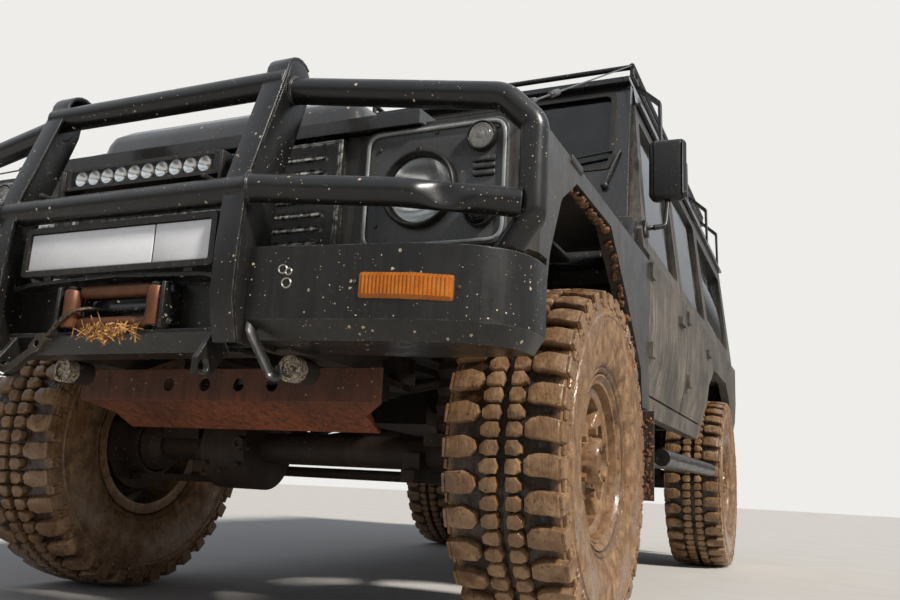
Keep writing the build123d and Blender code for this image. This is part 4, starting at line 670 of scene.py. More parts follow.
def coat(
    name, colour, roughness, metallic=0.0, film=0.2, low=0.3, high=1.4, cover=0.4, rate=62.0, size=0.22,
    rub=0.5, width=0.0025, bare=srgb(150, 146, 138), dust=srgb(120, 106, 90), speck=cream, clear=0.0,
    bump_depth=0.0008, grain=0.2, cloudy=0.62,
):
    """A weathered finish: blotchy colour, rubbed edges, a film of dust and thrown specks."""
    made, tree, shader = material(name, Metallic=metallic, Coat_Weight=clear, Coat_Roughness=0.10)
    edge = use(tree, rubbed_edge, Width=width, Rub=rub)
    veil = use(tree, dust_film, Amount=film, Low=low, High=high)
    spots = use(tree, thrown_specks, Rate=rate, Cover=cover * speck_share, Size=size)
    blotch = spread(tree, cloud(tree, 16, 5), 0.35, 0.65)
    paint = mixed(tree, blotch, darkened(colour, cloudy), colour)
    paint = mixed(tree, edge.outputs["Mask"], paint, bare)
    paint = mixed(tree, veil.outputs["Mask"], paint, dust)
    thrown = mixed(tree, spread(tree, spots.outputs["Tone"], 0.25, 0.75), darkened(speck, 0.5), speck)
    paint = mixed(tree, spots.outputs["Mask"], paint, thrown)
    dull = spread(tree, blotch, 0.0, 1.0, roughness + 0.07, roughness - 0.05)
    covered = maths(tree, "MAXIMUM", veil.outputs["Mask"], spots.outputs["Mask"])
    dull = total_of(tree, dull, product(tree, covered, 0.85 - roughness))
    raised = total_of(tree, spots.outputs["Mask"], product(tree, cloud(tree, 360, 3), grain))
    bump = shade(
        tree, "Bump",
        {"Height": raised, "Strength": 0.7, "Distance": bump_depth, "Normal": edge.outputs["Normal"]},
    )
    feed(tree, shader, Base_Color=paint, Roughness=dull, Normal=bump.outputs[0])
    return made


def dress(surface, *names):
    """Gives carried-over pieces of the frame their finish."""
    for name in names:
        mesh = nodes[name].data
        mesh.materials.clear()
        mesh.materials.append(surface)


# Dust, bare and speck colours here are dark shadow browns: painted shade for the underside.
underside_mud_and_painted_shade = coat(
    "muddy_steel_with_painted_shade", srgb(30, 25, 21), 0.62, film=0.55, low=0.2, high=1.2, cover=0.5, rub=0.3,
    bare=srgb(104, 70, 46), dust=srgb(72, 52, 36), speck=srgb(140, 108, 80),
)
dress(
    underside_mud_and_painted_shade, "chassis_frame", "front_axle", "rear_axle", "drivetrain", "tank_and_exhaust",
    "knuckle_left", "knuckle_right", "track_rod", "drag_link", "drop_arm", "floor", "suspension",
)


def turned(bm, profile, place, axis, steps=32):
    """A turned form: a profile of distances along the axis and radii, spun at its place."""
    one = bmesh.new()
    spun(one, profile, steps)
    bmesh.ops.remove_doubles(one, verts=one.verts, dist=0.000005)
    outward(one)
    turn = Vector((1, 0, 0)).rotation_difference(Vector(axis)).to_matrix()
    bmesh.ops.rotate(one, verts=one.verts, matrix=turn)
    bmesh.ops.translate(one, verts=one.verts, vec=place)
    poured(bm, one)


forward = (0, -1, 0)


def screw(bm, place, axis, radius):
    """A domed screw head standing on a face, its radius in millimetres."""
    profile = [
        (-1, 0), (-1, radius), (radius * 0.25, radius), (radius * 0.6, radius * 0.72),
        (radius * 0.66, 0),
    ]
    turned(bm, profile, place, axis, 10)


# The axle housing's cover carries a ring of bolts and a filler plug, and the open jacking tubes
# are packed with mud. Both show under the bumper, where the sun catches their bright rims.
bm = bmesh.new()
cover_centre = at(-247, -118, 470)
for k in range(10):
    angle = 2 * math.pi * k / 10
    screw(
        bm, cover_centre + Vector((0.098 * math.sin(angle), -0.006, 0.098 * math.cos(angle))),
        forward, 9,
    )
filler_plug = [(-10, 0), (-10, 22), (10, 22), (13, 18), (13, 10), (6, 9), (6, 0)]
turned(bm, filler_plug, at(-163, -152, 452), forward, 6)
finish_piece("axle_cover_bolts", bm, "body", underside_mud_and_painted_shade)

rim_scrape, tree, shader = material("scraped_tube_end", Metallic=0.4)
scraped = cloud(tree, 160, 5, 0.7)
feed(
    tree, shader,
    Base_Color=mixed(tree, spread(tree, scraped, 0.4, 0.6), srgb(88, 70, 54), srgb(206, 196, 178)),
    Roughness=spread(tree, scraped, 0.4, 0.6, 0.8, 0.4),
    Normal=shade(tree, "Bump", {"Height": scraped, "Strength": 0.8, "Distance": 0.003}).outputs[0],
)
bm = bmesh.new()
tube_end = [
    (-30, 28.5), (-30, 28.8), (0.4, 29), (1.2, 28), (1.2, 19.8), (0, 19.2), (-4, 19.2), (-6, 12),
    (-3, 0),
]
for side in (-1, 1):
    turned(bm, tube_end, at(side * 335, -655.2, 594.5), forward, 28)
for v in bm.verts:
    v.co.y += noise.noise(v.co * 120) * 0.0012
finish_piece("packed_tube_ends", bm, "body", rim_scrape)

# Body panels: black gloss paint over aluminium, cloudy with dust that thickens down the sides.
# The roof, bonnet and scuttle stay darker than the doors and flanks.
body_black = coat(
    "black_body_paint", srgb(19, 22, 24), 0.26, film=0.16, low=0.55, high=1.45, cover=0.30, rate=75.0,
    rub=0.25, clear=0.4,
)
flank_dust = coat(
    "dusty_side_paint", srgb(24, 25, 26), 0.34, film=0.95, low=0.60, high=1.85, cover=0.42, rate=85.0,
    rub=0.3, dust=srgb(122, 113, 102), bump_depth=0.0012,
)
wing_black = coat(
    "dusty_wing_paint", srgb(21, 23, 25), 0.30, film=0.62, low=0.45, high=1.35, cover=0.4, rate=75.0,
    rub=0.35, dust=srgb(100, 92, 82), clear=0.2,
)
dress(body_black, "bonnet", "bulkhead", "roof")
dress(wing_black, "wings")
dress(
    flank_dust, "body_sides", "tail_door", "front_door_left", "front_door_right", "rear_door_left",
    "rear_door_right",
)

# Arch edges: crusts of dried rusty mud cling to the inner lip of each front wheel arch.
# They are lumps pressed along the edge's line, torn where they have dropped off.
crust_mud = coat(
    "crusted_mud", srgb(104, 66, 42), 0.85, film=0.4, low=0.4, high=1.4, cover=0.7, rate=120.0,
    size=0.34, rub=0.5, bare=srgb(190, 156, 120), dust=srgb(150, 112, 78), speck=srgb(196, 160, 122),
    bump_depth=0.003, grain=0.8,
)
front_lip = [
    (-440, 880), (-424, 935), (-396, 980), (-350, 1034), (-300, 1070), (-232, 1104), (-60, 1106),
    (130, 1104), (240, 1036), (345, 945), (440, 868), (548, 772),
]


def lump(bm, place, radius, stretch):
    verts = bmesh.ops.create_icosphere(bm, subdivisions=1, radius=radius)["verts"]
    bmesh.ops.scale(bm, verts=verts, vec=stretch)
    bmesh.ops.translate(bm, verts=verts, vec=place)


def crumpled(bm, rate, shift):
    """Moves each corner a little, by three noises of nearly one rate."""
    for v in bm.verts:
        x = noise.noise(v.co * rate)
        y = noise.noise(v.co * (rate + 1) + Vector((3, 0, 0)))
        z = noise.noise(v.co * (rate - 1) + Vector((0, shift, 0)))
        v.co += Vector((x, y, z)) * 0.003


random.seed(5)
bm = bmesh.new()
for side in (-1, 1):
    for (y0, z0), (y1, z1) in zip(front_lip, front_lip[1:]):
        steps = max(2, int(math.hypot(y1 - y0, z1 - z0) / 9))
        for k in range(steps):
            share = k / steps
            if noise.noise((y0 + share * 50, z0 * 1.0, side * 3.1)) < -0.18:
                continue
            place = at(
                side * (828 + random.uniform(-9, 6)), y0 + (y1 - y0) * share,
                z0 + (z1 - z0) * share - 3,
            )
            radius = random.uniform(0.004, 0.010)
            lump(bm, place, radius, (1.5, random.uniform(0.8, 1.6), random.uniform(0.7, 1.4)))
crumpled(bm, 150, 5)
arch_reach = 0.8445
for v in bm.verts:
    v.co.x = max(-arch_reach, min(arch_reach, v.co.x))
finish_piece("arch_crust", bm, "body", crust_mud, smooth=30)

# Lamp panels: smoother grey-black mouldings with a pressed rim, three louvres and screws with bright heads.
# Their rim is a raised bead painted light grey: a painted highlight where the pressing catches the sun.
panel_grey = coat(
    "lamp_panel_paint", srgb(82, 84, 86), 0.28, cloudy=0.85, film=0.20, low=0.5, high=1.2, cover=0.32,
    rate=80.0, rub=0.5, width=0.004, bare=srgb(170, 172, 172), dust=srgb(130, 122, 110), clear=0.25,
)
dress(panel_grey, "lamp_surrounds")
# The rim bead's light grey stands for sunlight on the ridge: a painted highlight.
rim_painted_highlight = coat(
    "pressed_rim_painted_highlight", srgb(186, 188, 188), 0.26, metallic=0.3, film=0.12, cover=0.25, rate=90.0, rub=0.2,
    width=0.001,
)
panel_face = -585.4


def ring_round(corners, bend, steps=5):
    """A closed line round the corners, as (x, z), each corner turned through an arc."""
    line = []
    count = len(corners)
    for k, corner in enumerate(corners):
        here = Vector(corner)
        before = (Vector(corners[k - 1]) - here).normalized()
        after = (Vector(corners[(k + 1) % count]) - here).normalized()
        for n in range(steps + 1):
            t = n / steps
            line.append(here + before * bend * (1 - t) ** 2 + after * bend * t ** 2)
    return line


def bead(bm, line, place_of, width, rise):
    """A low rounded bead that follows a closed line on a face."""
    rings = []
    count = len(line)
    for k in range(count):
        along = (line[(k + 1) % count] - line[k - 1]).normalized()
        across = Vector((along.y, -along.x))
        ring = [bm.verts.new(place_of(line[k] + across * offset, lift)) for offset, lift in (
            (-width, 0.0), (-width * 0.6, rise * 0.8), (0.0, rise), (width * 0.6, rise * 0.8), (width, 0.0))]
        rings.append(ring)
    for k in range(count):
        first, second = rings[k], rings[(k + 1) % count]
        for n in range(len(first) - 1):
            bm.faces.new((first[n], first[n + 1], second[n + 1], second[n]))
        bm.faces.new((first[-1], first[0], second[0], second[-1]))
    outward(bm)


bm = bmesh.new()
hardware = bmesh.new()
for side in (-1, 1):
    line = ring_round([(side * x, z) for x, z in ((452, 874), (784, 874), (784, 1142), (452, 1140))], 34)
    bead(bm, line, lambda p, lift: at(p.x, panel_face - lift, p.y), 4.6, 3.4)
    for x, z in ((480, 1105), (479, 924), (480, 875), (696, 874), (768, 875), (766, 1128), (620, 1132)):
        screw(hardware, at(side * x, panel_face + 3.8, z), forward, 5.2)
finish_piece("lamp_panel_rims", bm, "body", rim_painted_highlight)
steel_screw = coat(
    "screw_heads", srgb(96, 94, 90), 0.4, metallic=0.8, film=0.3, cover=0.3, rate=140.0, rub=0.6,
    width=0.001,
)
finish_piece("lamp_panel_screws", hardware, "body", steel_screw)

bm = bmesh.new()
for side in (-1, 1):
    for z in (1052, 1036, 1020):
        one = bmesh.new()
        face, top = drawn_out(
            one,
            [at(x, panel_face + 4, z + dz) for x, dz in ((712, -2), (764, -2), (764, 7), (712, 7))],
        )
        for v in top:
            v.co.y -= 0.0068
            v.co.z += 0.002
        rounded(one, list(one.edges), 0.0016, 2)
        outward(one)
        if side < 0:
            bmesh.ops.scale(one, verts=one.verts, vec=(-1, 1, 1))
            bmesh.ops.reverse_faces(one, faces=one.faces)
        poured(bm, one)
finish_piece("lamp_panel_louvres", bm, "body", panel_grey)

# Headlamps: a clear domed glass over a bright pressed reflector, in a thick black moulded ring
# with a tab at its top. A bulb with its cap stands in the middle of the reflector.
lamp_x, lamp_z, lamp_front = 587, 1000, -589
moulded = coat(
    "black_moulding", srgb(17, 18, 19), 0.34, film=0.18, cover=0.35, rate=90.0, rub=0.2, width=0.0015,
)
reflector, tree, shader = material("lamp_reflector", Metallic=0.75, Roughness=0.16)
ripple = shade(tree, "TexWave", {"Scale": 26.0, "Distortion": 0.6}, bands_direction="X").outputs["Fac"]
feed(
    tree, shader, Base_Color=mixed(tree, cloud(tree, 30), srgb(232, 234, 236), srgb(250, 250, 250)),
    Normal=shade(tree, "Bump", {"Height": ripple, "Strength": 0.12, "Distance": 0.001}).outputs[0],
)
lamp_clear, tree, shader = material("clear_lamp_glass", Transmission_Weight=1.0, IOR=1.2)
smear = cloud(tree, 24, 5)
feed(
    tree, shader, Base_Color=mixed(tree, smear, srgb(236, 238, 238), srgb(250, 251, 251)),
    Roughness=spread(tree, smear, 0.4, 0.7, 0.015, 0.10),
)
ring_bm, glass_bm, bowl_bm = bmesh.new(), bmesh.new(), bmesh.new()
lamp_ring = [
    (-44, 74.5), (-44, 89.7), (0, 89.9), (9, 89.3), (12.5, 86), (12.5, 83), (8, 80), (1, 78.5),
    (-4, 74.5), (-44, 74.5),
]
lamp_dome = [
    (-3, 77.5), (3, 76.5), (11, 66), (16.5, 48), (19.5, 26), (20.5, 0), (18, 0), (17, 26), (14, 47),
    (8.5, 64), (1, 74.5), (-3, 77.5),
]
lamp_bowl = [
    (-6, 74.5), (-12, 70), (-24, 58), (-36, 42), (-43, 26), (-46, 14), (-30, 12.5), (-16, 11.5),
    (-10, 7), (-9, 0), (-50, 0), (-50, 30), (-40, 52), (-20, 68), (-6, 74.5),
]
lamp_back = [(-43.9, 0), (-43.9, 64.9), (-83.8, 64.9), (-83.8, 0)]
for side in (-1, 1):
    centre = at(side * lamp_x, lamp_front, lamp_z)
    turned(ring_bm, lamp_ring, centre, forward, 64)
    one = bmesh.new()
    face, top = drawn_out(
        one,
        [
            (x, 0.0, z)
            for x, z in ((-0.007, 0.0815), (0.007, 0.0815), (0.006, 0.0935), (-0.006, 0.0935))
        ],
    )
    for v in top:
        v.co.y -= 0.014
    rounded(one, list(one.edges), 0.0012, 2)
    outward(one)
    bmesh.ops.translate(one, verts=one.verts, vec=centre)
    poured(ring_bm, one)
    turned(glass_bm, lamp_dome, centre, forward, 64)
    turned(bowl_bm, lamp_bowl, centre, forward, 48)
    turned(bowl_bm, lamp_back, centre, forward, 32)
finish_piece("headlamp_rings", ring_bm, "body", moulded, ["headlamps"])
finish_piece("headlamp_glasses", glass_bm, "body", lamp_clear)
finish_piece("headlamp_bowls", bowl_bm, "body", reflector)

# Small lamps: round rubber bodies with ringed lenses; at the front the upper lens is clear and the lower one
# dark brown-grey, a painted shade.
# At the tail three on each side show red, amber and clear.


def ribbed_lens(name, colour):
    made, tree, shader = material(name, Transmission_Weight=0.75, IOR=1.3)
    feed(
        tree, shader, Base_Color=mixed(tree, cloud(tree, 60), darkened(colour, 0.75), colour),
        Roughness=spread(tree, cloud(tree, 40, 4), 0.4, 0.7, 0.08, 0.28),
    )
    return made


# The lower front lens is dark brown-grey as painted shade.
lens_colours = {
    "clear_lens": srgb(226, 226, 222), "painted_shade_lens": srgb(70, 64, 60), "red_lens": srgb(150, 18, 14),
    "amber_round_lens": srgb(216, 120, 30),
}
small_lamp_places = [("clear_lens", 733, -601, 1106, 34, -1), ("painted_shade_lens", 733, -601, 935, 34, -1)]
small_lamp_places += [
    (name, 690, 3676, z, 38, 1)
    for name, z in (("red_lens", 860), ("amber_round_lens", 960), ("clear_lens", 1060))
]
bodies = bmesh.new()
lenses = {name: bmesh.new() for name in lens_colours}
backs = bmesh.new()
for name, x, y, z, r, facing in small_lamp_places:
    for side in (-1, 1):
        place = at(side * x, y, z)
        axis = (0, facing, 0)
        turned(
            bodies,
            [
                (-20, 0), (-20, r), (-6, r), (-2, r * 0.97), (-1, r * 0.90),
                (-4, r * 0.86), (-14, r * 0.84), (-14, 0),
            ],
            place, axis, 40,
        )
        turned(
            lenses[name],
            [
                (-11, r * 0.83), (-3, r * 0.82), (-1, r * 0.74), (-2.6, r * 0.68),
                (-0.6, r * 0.62), (-2.2, r * 0.52), (0, r * 0.44), (-1.8, r * 0.34),
                (0, r * 0.22), (0, 0), (-11, 0), (-11, r * 0.83),
            ],
            place, axis, 40,
        )
        turned(
            backs,
            [
                (-13.8, r * 0.82), (-12.5, r * 0.80), (-13.5, r * 0.3), (-11.5, r * 0.2),
                (-11.5, 0), (-13.8, 0), (-13.8, r * 0.82),
            ],
            place, axis, 24,
        )
finish_piece("small_lamp_bodies", bodies, "body", moulded, ["small_lamps"])
finish_piece("small_lamp_backs", backs, "body", reflector)
for name, form in lenses.items():
    finish_piece("small_" + name, form, "body", ribbed_lens(name, lens_colours[name]))

# Grille: a black moulding with seven louvres, whose lips stand a little way out of its flat face.
# The lips are worn to a silvery grey, and turn back at their ends into the frame.


def block(bm, x0, x1, y0, y1, z0, z1, width=0.002, segments=2):
    """A box from millimetres about the front axle, its edges rounded."""
    low, high = at(min(x0, x1), y0, z0), at(max(x0, x1), y1, z1)
    size = high - low
    one = bmesh.new()
    matrix = Matrix.Translation((low + high) / 2) @ Matrix.Diagonal((*size, 1))
    bmesh.ops.create_cube(one, size=1.0, matrix=matrix)
    if width:
        rounded(one, one.edges, width, segments)
    settled(bm, one)


grille_black = coat(
    "grille_moulding", srgb(30, 33, 34), 0.28, film=0.15, cover=0.3, rate=80.0, rub=1.0, width=0.008,
    bare=srgb(196, 198, 194),
)
bm = bmesh.new()
one = bmesh.new()
face, top = drawn_out(
    one, [at(x, -575.5, z) for x, z in ((-386, 870), (386, 870), (386, 1140), (-386, 1140))],
)
for v in top:
    v.co.y = at(0, -596, 0).y
bmesh.ops.inset_region(one, faces=[face], thickness=0.013)
for v in drawn_copy(one, [face])[1]:
    v.co.y += 0.0185
rounded(
    one,
    [
        e
        for e in one.edges
        if e.calc_face_angle(0) > 1.0 and all(v.co.y < at(0, -590, 0).y for v in e.verts)
    ],
    0.0025, 2,
)
settled(bm, one)
louvre_count = 7
louvres_low_z, louvres_high_z = 886, 1128
for k in range(louvre_count):
    z = louvres_low_z + k * (louvres_high_z - louvres_low_z) / louvre_count
    one = bmesh.new()
    profile = [
        (-577, z + 20), (-588, z + 17), (-597, z + 8), (-599.5, z), (-597, z - 1), (-593, z + 7),
        (-585, z + 12), (-577, z + 14),
    ]
    face, top = drawn_out(one, [at(-372, y, height) for y, height in profile])
    for v in top:
        v.co.x = 0.372
    for fold in (0.335, -0.335):
        bmesh.ops.bisect_plane(one, geom=everything(one), plane_co=(fold, 0, 0), plane_no=(1, 0, 0))
    for v in one.verts:
        if abs(v.co.x) > 0.36:
            v.co.y += (at(0, -577, 0).y - v.co.y) * 0.65
    outward(one)
    rounded(one, [e for e in one.edges if e.calc_face_angle(0) > 0.5], 0.0008, 1)
    poured(bm, one)
for x in (-190, 0, 190):
    block(bm, x - 4, x + 4, -584, -576, 877, 1133, 0.0015, 1)
finish_piece("grille_louvres", bm, "body", grille_black, ["grille"])

# Roof: one low domed pressing with gutters, its front edge sloping down to the windscreen's header.
# It is hollow below, and stands on the side walls and the header rail.


def cut_off(bm, place, slope):
    """Cuts away what lies beyond a plane, and closes the cut."""
    bmesh.ops.bisect_plane(bm, geom=everything(bm), plane_co=place, plane_no=slope, clear_outer=True)
    bmesh.ops.holes_fill(bm, edges=[e for e in bm.edges if e.is_boundary], sides=0)


def drawn_between(bm, corners, axis, start, end, width=0.0):
    """An outline in the plane across an axis, drawn from one place on the axis to another."""
    one = bmesh.new()
    places = []
    for first, second in corners:
        place = [first, second]
        place.insert(axis, start)
        places.append(at(*place))
    face, top = drawn_out(one, places)
    for v in top:
        v.co[axis] += (end - start) / 1000
    if width:
        rounded(one, [e for e in one.edges if e.calc_face_angle(0) > 0.3], width)
    settled(bm, one)


roof_foot_z = 1850
header_z = 1926
roof_half = [
    (770, 0), (770, 12), (752, 12), (738, 100), (722, 128), (690, 152), (560, 166), (360, 179),
    (0, 185),
]
bm = bmesh.new()
over_sides = [(x, roof_foot_z + z) for x, z in roof_half]
over_header = [(741, header_z)] + [(x, z) for x, z in over_sides if z > header_z]
for start, end, over in ((915, 3650, over_sides), (846, 915, over_header)):
    drawn_between(bm, over + [(-x, z) for x, z in over[-2::-1]], 1, start, end)
brow, brow_slope = at(0, 846, 1946), Vector((0, -91, 244)).normalized()
cut_off(bm, brow, brow_slope)
under = [f for f in bm.faces if f.normal.z < -0.9 and f.calc_center_median().z < at(0, 0, roof_foot_z + 1).z]
bmesh.ops.inset_region(bm, faces=under, thickness=0.034)
hollow = drawn_copy(bm, under)[1]
bmesh.ops.delete(bm, geom=under, context="FACES")
for v in hollow:
    v.co.z += 0.052
outward(bm)
finish_piece("low_roof", bm, "body", body_black, ["roof"], smooth=35)

# Scuttle and windscreen frame: a folded steel frame, leaning back, with two vent flaps under its opening.
# The scuttle below the frame keeps the drawn piece's own form.
screen_foot = (689, 1312)
screen_lean = 0.3018
scuttle_top_z = 1312.4
spindle_z = 1460


def screen_place(x, z, depth=0.0):
    """A place on the windscreen frame's front face, or behind it."""
    return at(x, screen_foot[0] + (z - screen_foot[1]) * screen_lean + depth, z)


def merged_copy(name):
    """A copy of a drawn node's mesh with its corners merged."""
    copy = bmesh.new()
    copy.from_mesh(nodes[name].data)
    bmesh.ops.remove_doubles(copy, verts=copy.verts, dist=0.00001)
    return copy


def frame_between(bm, outer, inner, place_of, depth):
    """A frame between two closed lines with as many points, drawn back by its depth in millimetres."""
    loops = []
    for line in (outer, inner):
        verts = [bm.verts.new(place_of(p.x, p.y)) for p in line]
        loops.append([bm.edges.new((verts[k - 1], verts[k])) for k in range(len(verts))])
    faces = bmesh.ops.bridge_loops(bm, edges=loops[0] + loops[1])["faces"]
    for v in drawn_copy(bm, faces)[1]:
        v.co.y += depth / 1000
    outward(bm)


def mirrored_corners(low_x, low_z, high_x, high_z):
    return [(-low_x, low_z), (low_x, low_z), (high_x, high_z), (-high_x, high_z)]


def flat_frame(bm, outer, inner, y, depth, steps=5):
    """An upright frame between two boxes, each given by its half width, foot, top and corner."""
    lines = []
    for half, low, high, corner in (outer, inner):
        lines.append(ring_round(mirrored_corners(half, low, half, high), corner, steps))
    frame_between(bm, *lines, lambda x, z: at(x, y, z), depth)


screen_hole = ring_round(mirrored_corners(693, 1545, 682, 1890), 34)
bm = merged_copy("bulkhead")
cut_off(bm, at(0, 0, scuttle_top_z), (0, 0, 1))
one = bmesh.new()
frame_between(one, ring_round(mirrored_corners(769, 1311, 740, 1925), 8), screen_hole, screen_place, 35)
poured(bm, one)
for side in (-1, 1):
    one = bmesh.new()
    face, top = drawn_out(
        one,
        [screen_place(side * x, z, 1) for x, z in ((90, 1380), (560, 1380), (560, 1480), (90, 1480))],
    )
    for v in top:
        v.co.y -= 0.008
    rounded(one, [e for e in one.edges if all(v in top for v in e.verts)], 0.004)
    settled(bm, one)
finish_piece("scuttle_and_screen_frame", bm, "body", body_black, ["bulkhead"], smooth=35)

# Windscreen: flat laminated glass in a black rubber seal, with two wipers on spindles that sit
# in the frame below it. The quarter panes keep their drawn form.
glass, tree, shader = material("tinted_glass", Transmission_Weight=0.9, IOR=1.45)
soft_dust = cloud(tree, 9, 5)
feed(
    tree, shader,
    Base_Color=mixed(tree, spread(tree, soft_dust, 0.4, 0.7), srgb(58, 66, 64), srgb(98, 98, 92)),
    Roughness=spread(tree, soft_dust, 0.42, 0.72, 0.02, 0.20),
)
rubber = coat("black_rubber", srgb(20, 20, 20), 0.6, film=0.3, cover=0.35, rub=0.0)
bm = merged_copy("fixed_glass")
front = [v for v in bm.verts if v.co.y < at(0, 1300, 0).y]
bmesh.ops.delete(bm, geom=front, context="VERTS")
face, top = drawn_out(bm, [screen_place(p.x, p.y, 14) for p in screen_hole])
for v in top:
    v.co.y += 0.005
outward(bm)
finish_piece("screen_and_quarter_glass", bm, "body", glass, ["fixed_glass"])
bm = bmesh.new()
seal_inside = ring_round(mirrored_corners(681, 1557, 670, 1878), 30)
seal_outside = ring_round(mirrored_corners(703, 1535, 692, 1900), 40)
frame_between(bm, seal_outside, seal_inside, lambda x, z: screen_place(x, z, -3.5), 6)
finish_piece("windscreen_seal", bm, "body", rubber, smooth=30)
bm = bmesh.new()
spindle_cap = [(-4, 0), (-4, 13), (12, 13), (17, 8), (18, 0)]
for foot_x, tip in ((676, (724, 1612)), (-60, (-12, 1612))):
    arm = [
        screen_place(foot_x, spindle_z, -14), screen_place((foot_x + tip[0]) / 2, 1536, -16),
        screen_place(*tip, -10),
    ]
    sweep(bm, arm, 0.0045, 10)
    blade = [screen_place(tip[0] - 30 - step, tip[1] - step * 0.12, -8) for step in (0, 130, 260, 380)]
    sweep(bm, blade, 0.005, 8)
    turned(bm, spindle_cap, screen_place(foot_x, spindle_z, -4), forward, 20)
finish_piece("wipers", bm, "body", moulded)

# Bonnet: its raised middle is a tall pressing with soft shoulders, wider than the drawn one below it.
# It is part of the bonnet panel and opens with it.
bm = bmesh.new()
loops = []
for front_x, rear_x, front_y, rear_y, lift, climb in (
    (412, 430, -574, 548, -6, 0.0885), (403, 424, -568, 546, 40, 0.056),
    (394, 414, -560, 544, 62, 0.0531), (368, 388, -536, 538, 81, 0.0531),
):
    line = ring_round([(-front_x, front_y), (front_x, front_y), (rear_x, rear_y), (-rear_x, rear_y)], 46)
    verts = [bm.verts.new(at(p.x, p.y, 1186 + lift + (p.y + 600) * climb)) for p in line]
    loops.append([bm.edges.new((verts[k - 1], verts[k])) for k in range(len(verts))])
for first, second in zip(loops, loops[1:]):
    bmesh.ops.bridge_loops(bm, edges=first + second)
bmesh.ops.holes_fill(bm, edges=[e for e in bm.edges if e.is_boundary], sides=0)
outward(bm)
finish_piece("bonnet_raised_middle", bm, "bonnet", body_black, smooth=35)

# Bull bar: thick steel uprights with a folded front edge, and round tube hoops swept back past the lamps.
# The tubes are welded to the plates; the satin black coating is rubbed to grey along its edges.
bar_black = coat(
    "bar_coating", srgb(18, 19, 20), 0.29, film=0.06, low=0.5, high=1.2, cover=0.5, rate=72.0,
    size=0.26, rub=0.75, width=0.003, bare=srgb(126, 124, 120),
)


def bent(points, bends, steps=8):
    """A line through points in millimetres, each inner corner turned with its own bend."""
    line = [at(*points[0])]
    for before, here, after, bend in zip(points, points[1:], points[2:], bends):
        corner, back, on = at(*here), at(*before), at(*after)
        first, second = (back - corner).normalized(), (on - corner).normalized()
        half = first.angle(second) / 2
        reach = min(bend / 1000 / math.tan(half), (back - corner).length * 0.49, (on - corner).length * 0.49)
        for n in range(steps + 1):
            t = n / steps
            line.append(corner + first * reach * (1 - t) ** 2 + second * reach * t ** 2)
    line.append(at(*points[-1]))
    return line


def finely(line, step):
    """The same line with points no further apart than a step."""
    close = [line[0]]
    for first, second in zip(line, line[1:]):
        count = max(1, math.ceil((second - first).length / step))
        close += [first.lerp(second, (k + 1) / count) for k in range(count)]
    return close


tube_radius = 0.029
dent_x, dent_reach, dent_depth = 0.742, 0.062, 0.024


def plate_top(radius, last):
    """The plates' rounded top, from its front round towards the back."""
    turns = [math.radians(angle) for angle in range(180, last, -19)]
    return [(-737 + radius * math.cos(turn), 1226 + radius * math.sin(turn)) for turn in turns]


arc_over = plate_top(41, -11)
plate_front = [(-858, 616), (-882, 700), (-882, 800), (-872, 950)]
plate_back = [(-700, 1185), (-775, 950), (-785, 812)]
drawn_plate = merged_copy("bull_bar")
rail_front = max(v.co.y for v in drawn_plate.verts if v.co.z < 0.62 and abs(v.co.x) > 0.34)
drawn_plate.free()
rail_front = (rail_front - front_axle_y) * 1000
plate_back += [(rail_front, 740), (rail_front, 616)]
fold_out = plate_top(49, 44)
weld_ring = [(-4, 28), (-2, 32.5), (3, 32.5), (6, 28)]
bm = bmesh.new()
for side in (-1, 1):
    drawn_between(bm, plate_front + arc_over + plate_back, 0, side * 344, side * 352, 0.0012)
    strip = [(y - 8, z) for y, z in plate_front] + fold_out
    inside = [(y + 1, z) for y, z in plate_front] + arc_over[:8]
    drawn_between(bm, strip + inside[::-1], 0, side * 297, side * 352, 0.0012)
    hoop = [(348, -752, 1192), (822, -697, 1136), (884, -682, 1075), (884, -684, 884), (822, -662, 812)]
    sweep(bm, bent([(side * x, y, z) for x, y, z in hoop], [62, 40, 36]), tube_radius, 40)
    wrap = [(348, -872, 927), (640, -792, 918), (866, -700, 906)]
    before = len(bm.verts)
    wrap_line = finely(bent([(side * x, y, z) for x, y, z in wrap], [300], 10), 0.006)
    sweep(bm, wrap_line, tube_radius, 48)
    if side > 0:
        bm.verts.ensure_lookup_table()
        bm.normal_update()
        struck = Vector((0.24, -0.95, 0.06)).normalized()
        for v in list(bm.verts)[before:]:
            share = 1 - ((v.co.x - dent_x) / dent_reach) ** 2
            facing = v.normal.dot(struck)
            if share > 0 and facing > 0:
                v.co -= struck * dent_depth * share ** 2 * facing ** 1.5
    turned(bm, weld_ring, at(side * 352, -871, 927), (side, 0.26, 0), 36)
    turned(bm, weld_ring, at(side * 352, -752, 1192), (side, 0.12, -0.12), 36)
for y, z in ((-768, 1205), (-858, 930)):
    sweep(bm, [at(-348, y, z), at(0, y, z), at(348, y, z)], tube_radius, 40)
finish_piece("bull_bar_tubes", bm, "body", bar_black, ["bull_bar"], smooth=35)
dress(bar_black, "winch", "winch_tray", "roof_rack", "side_steps")

# Bumper ends: folded and welded steel boxes, swept back, with their upright folds drawn soft.
# The drawn form is kept, and only its folds are rounded.
bm = merged_copy("front_bumper")
bmesh.ops.dissolve_limit(bm, angle_limit=math.radians(0.5), verts=bm.verts, edges=bm.edges)
folds = []
for e in bm.edges:
    run = (e.verts[0].co - e.verts[1].co).normalized()
    outside = all(v.co.y < at(0, -565, 0).y and abs(v.co.x) > 0.60 for v in e.verts)
    if abs(run.z) > 0.7 and outside and 0.15 < e.calc_face_angle(0) < 1.0:
        folds.append(e)
rounded(bm, folds, 0.022, 4)
finish_piece("bumper_ends", bm, "body", bar_black, ["front_bumper"], smooth=28)

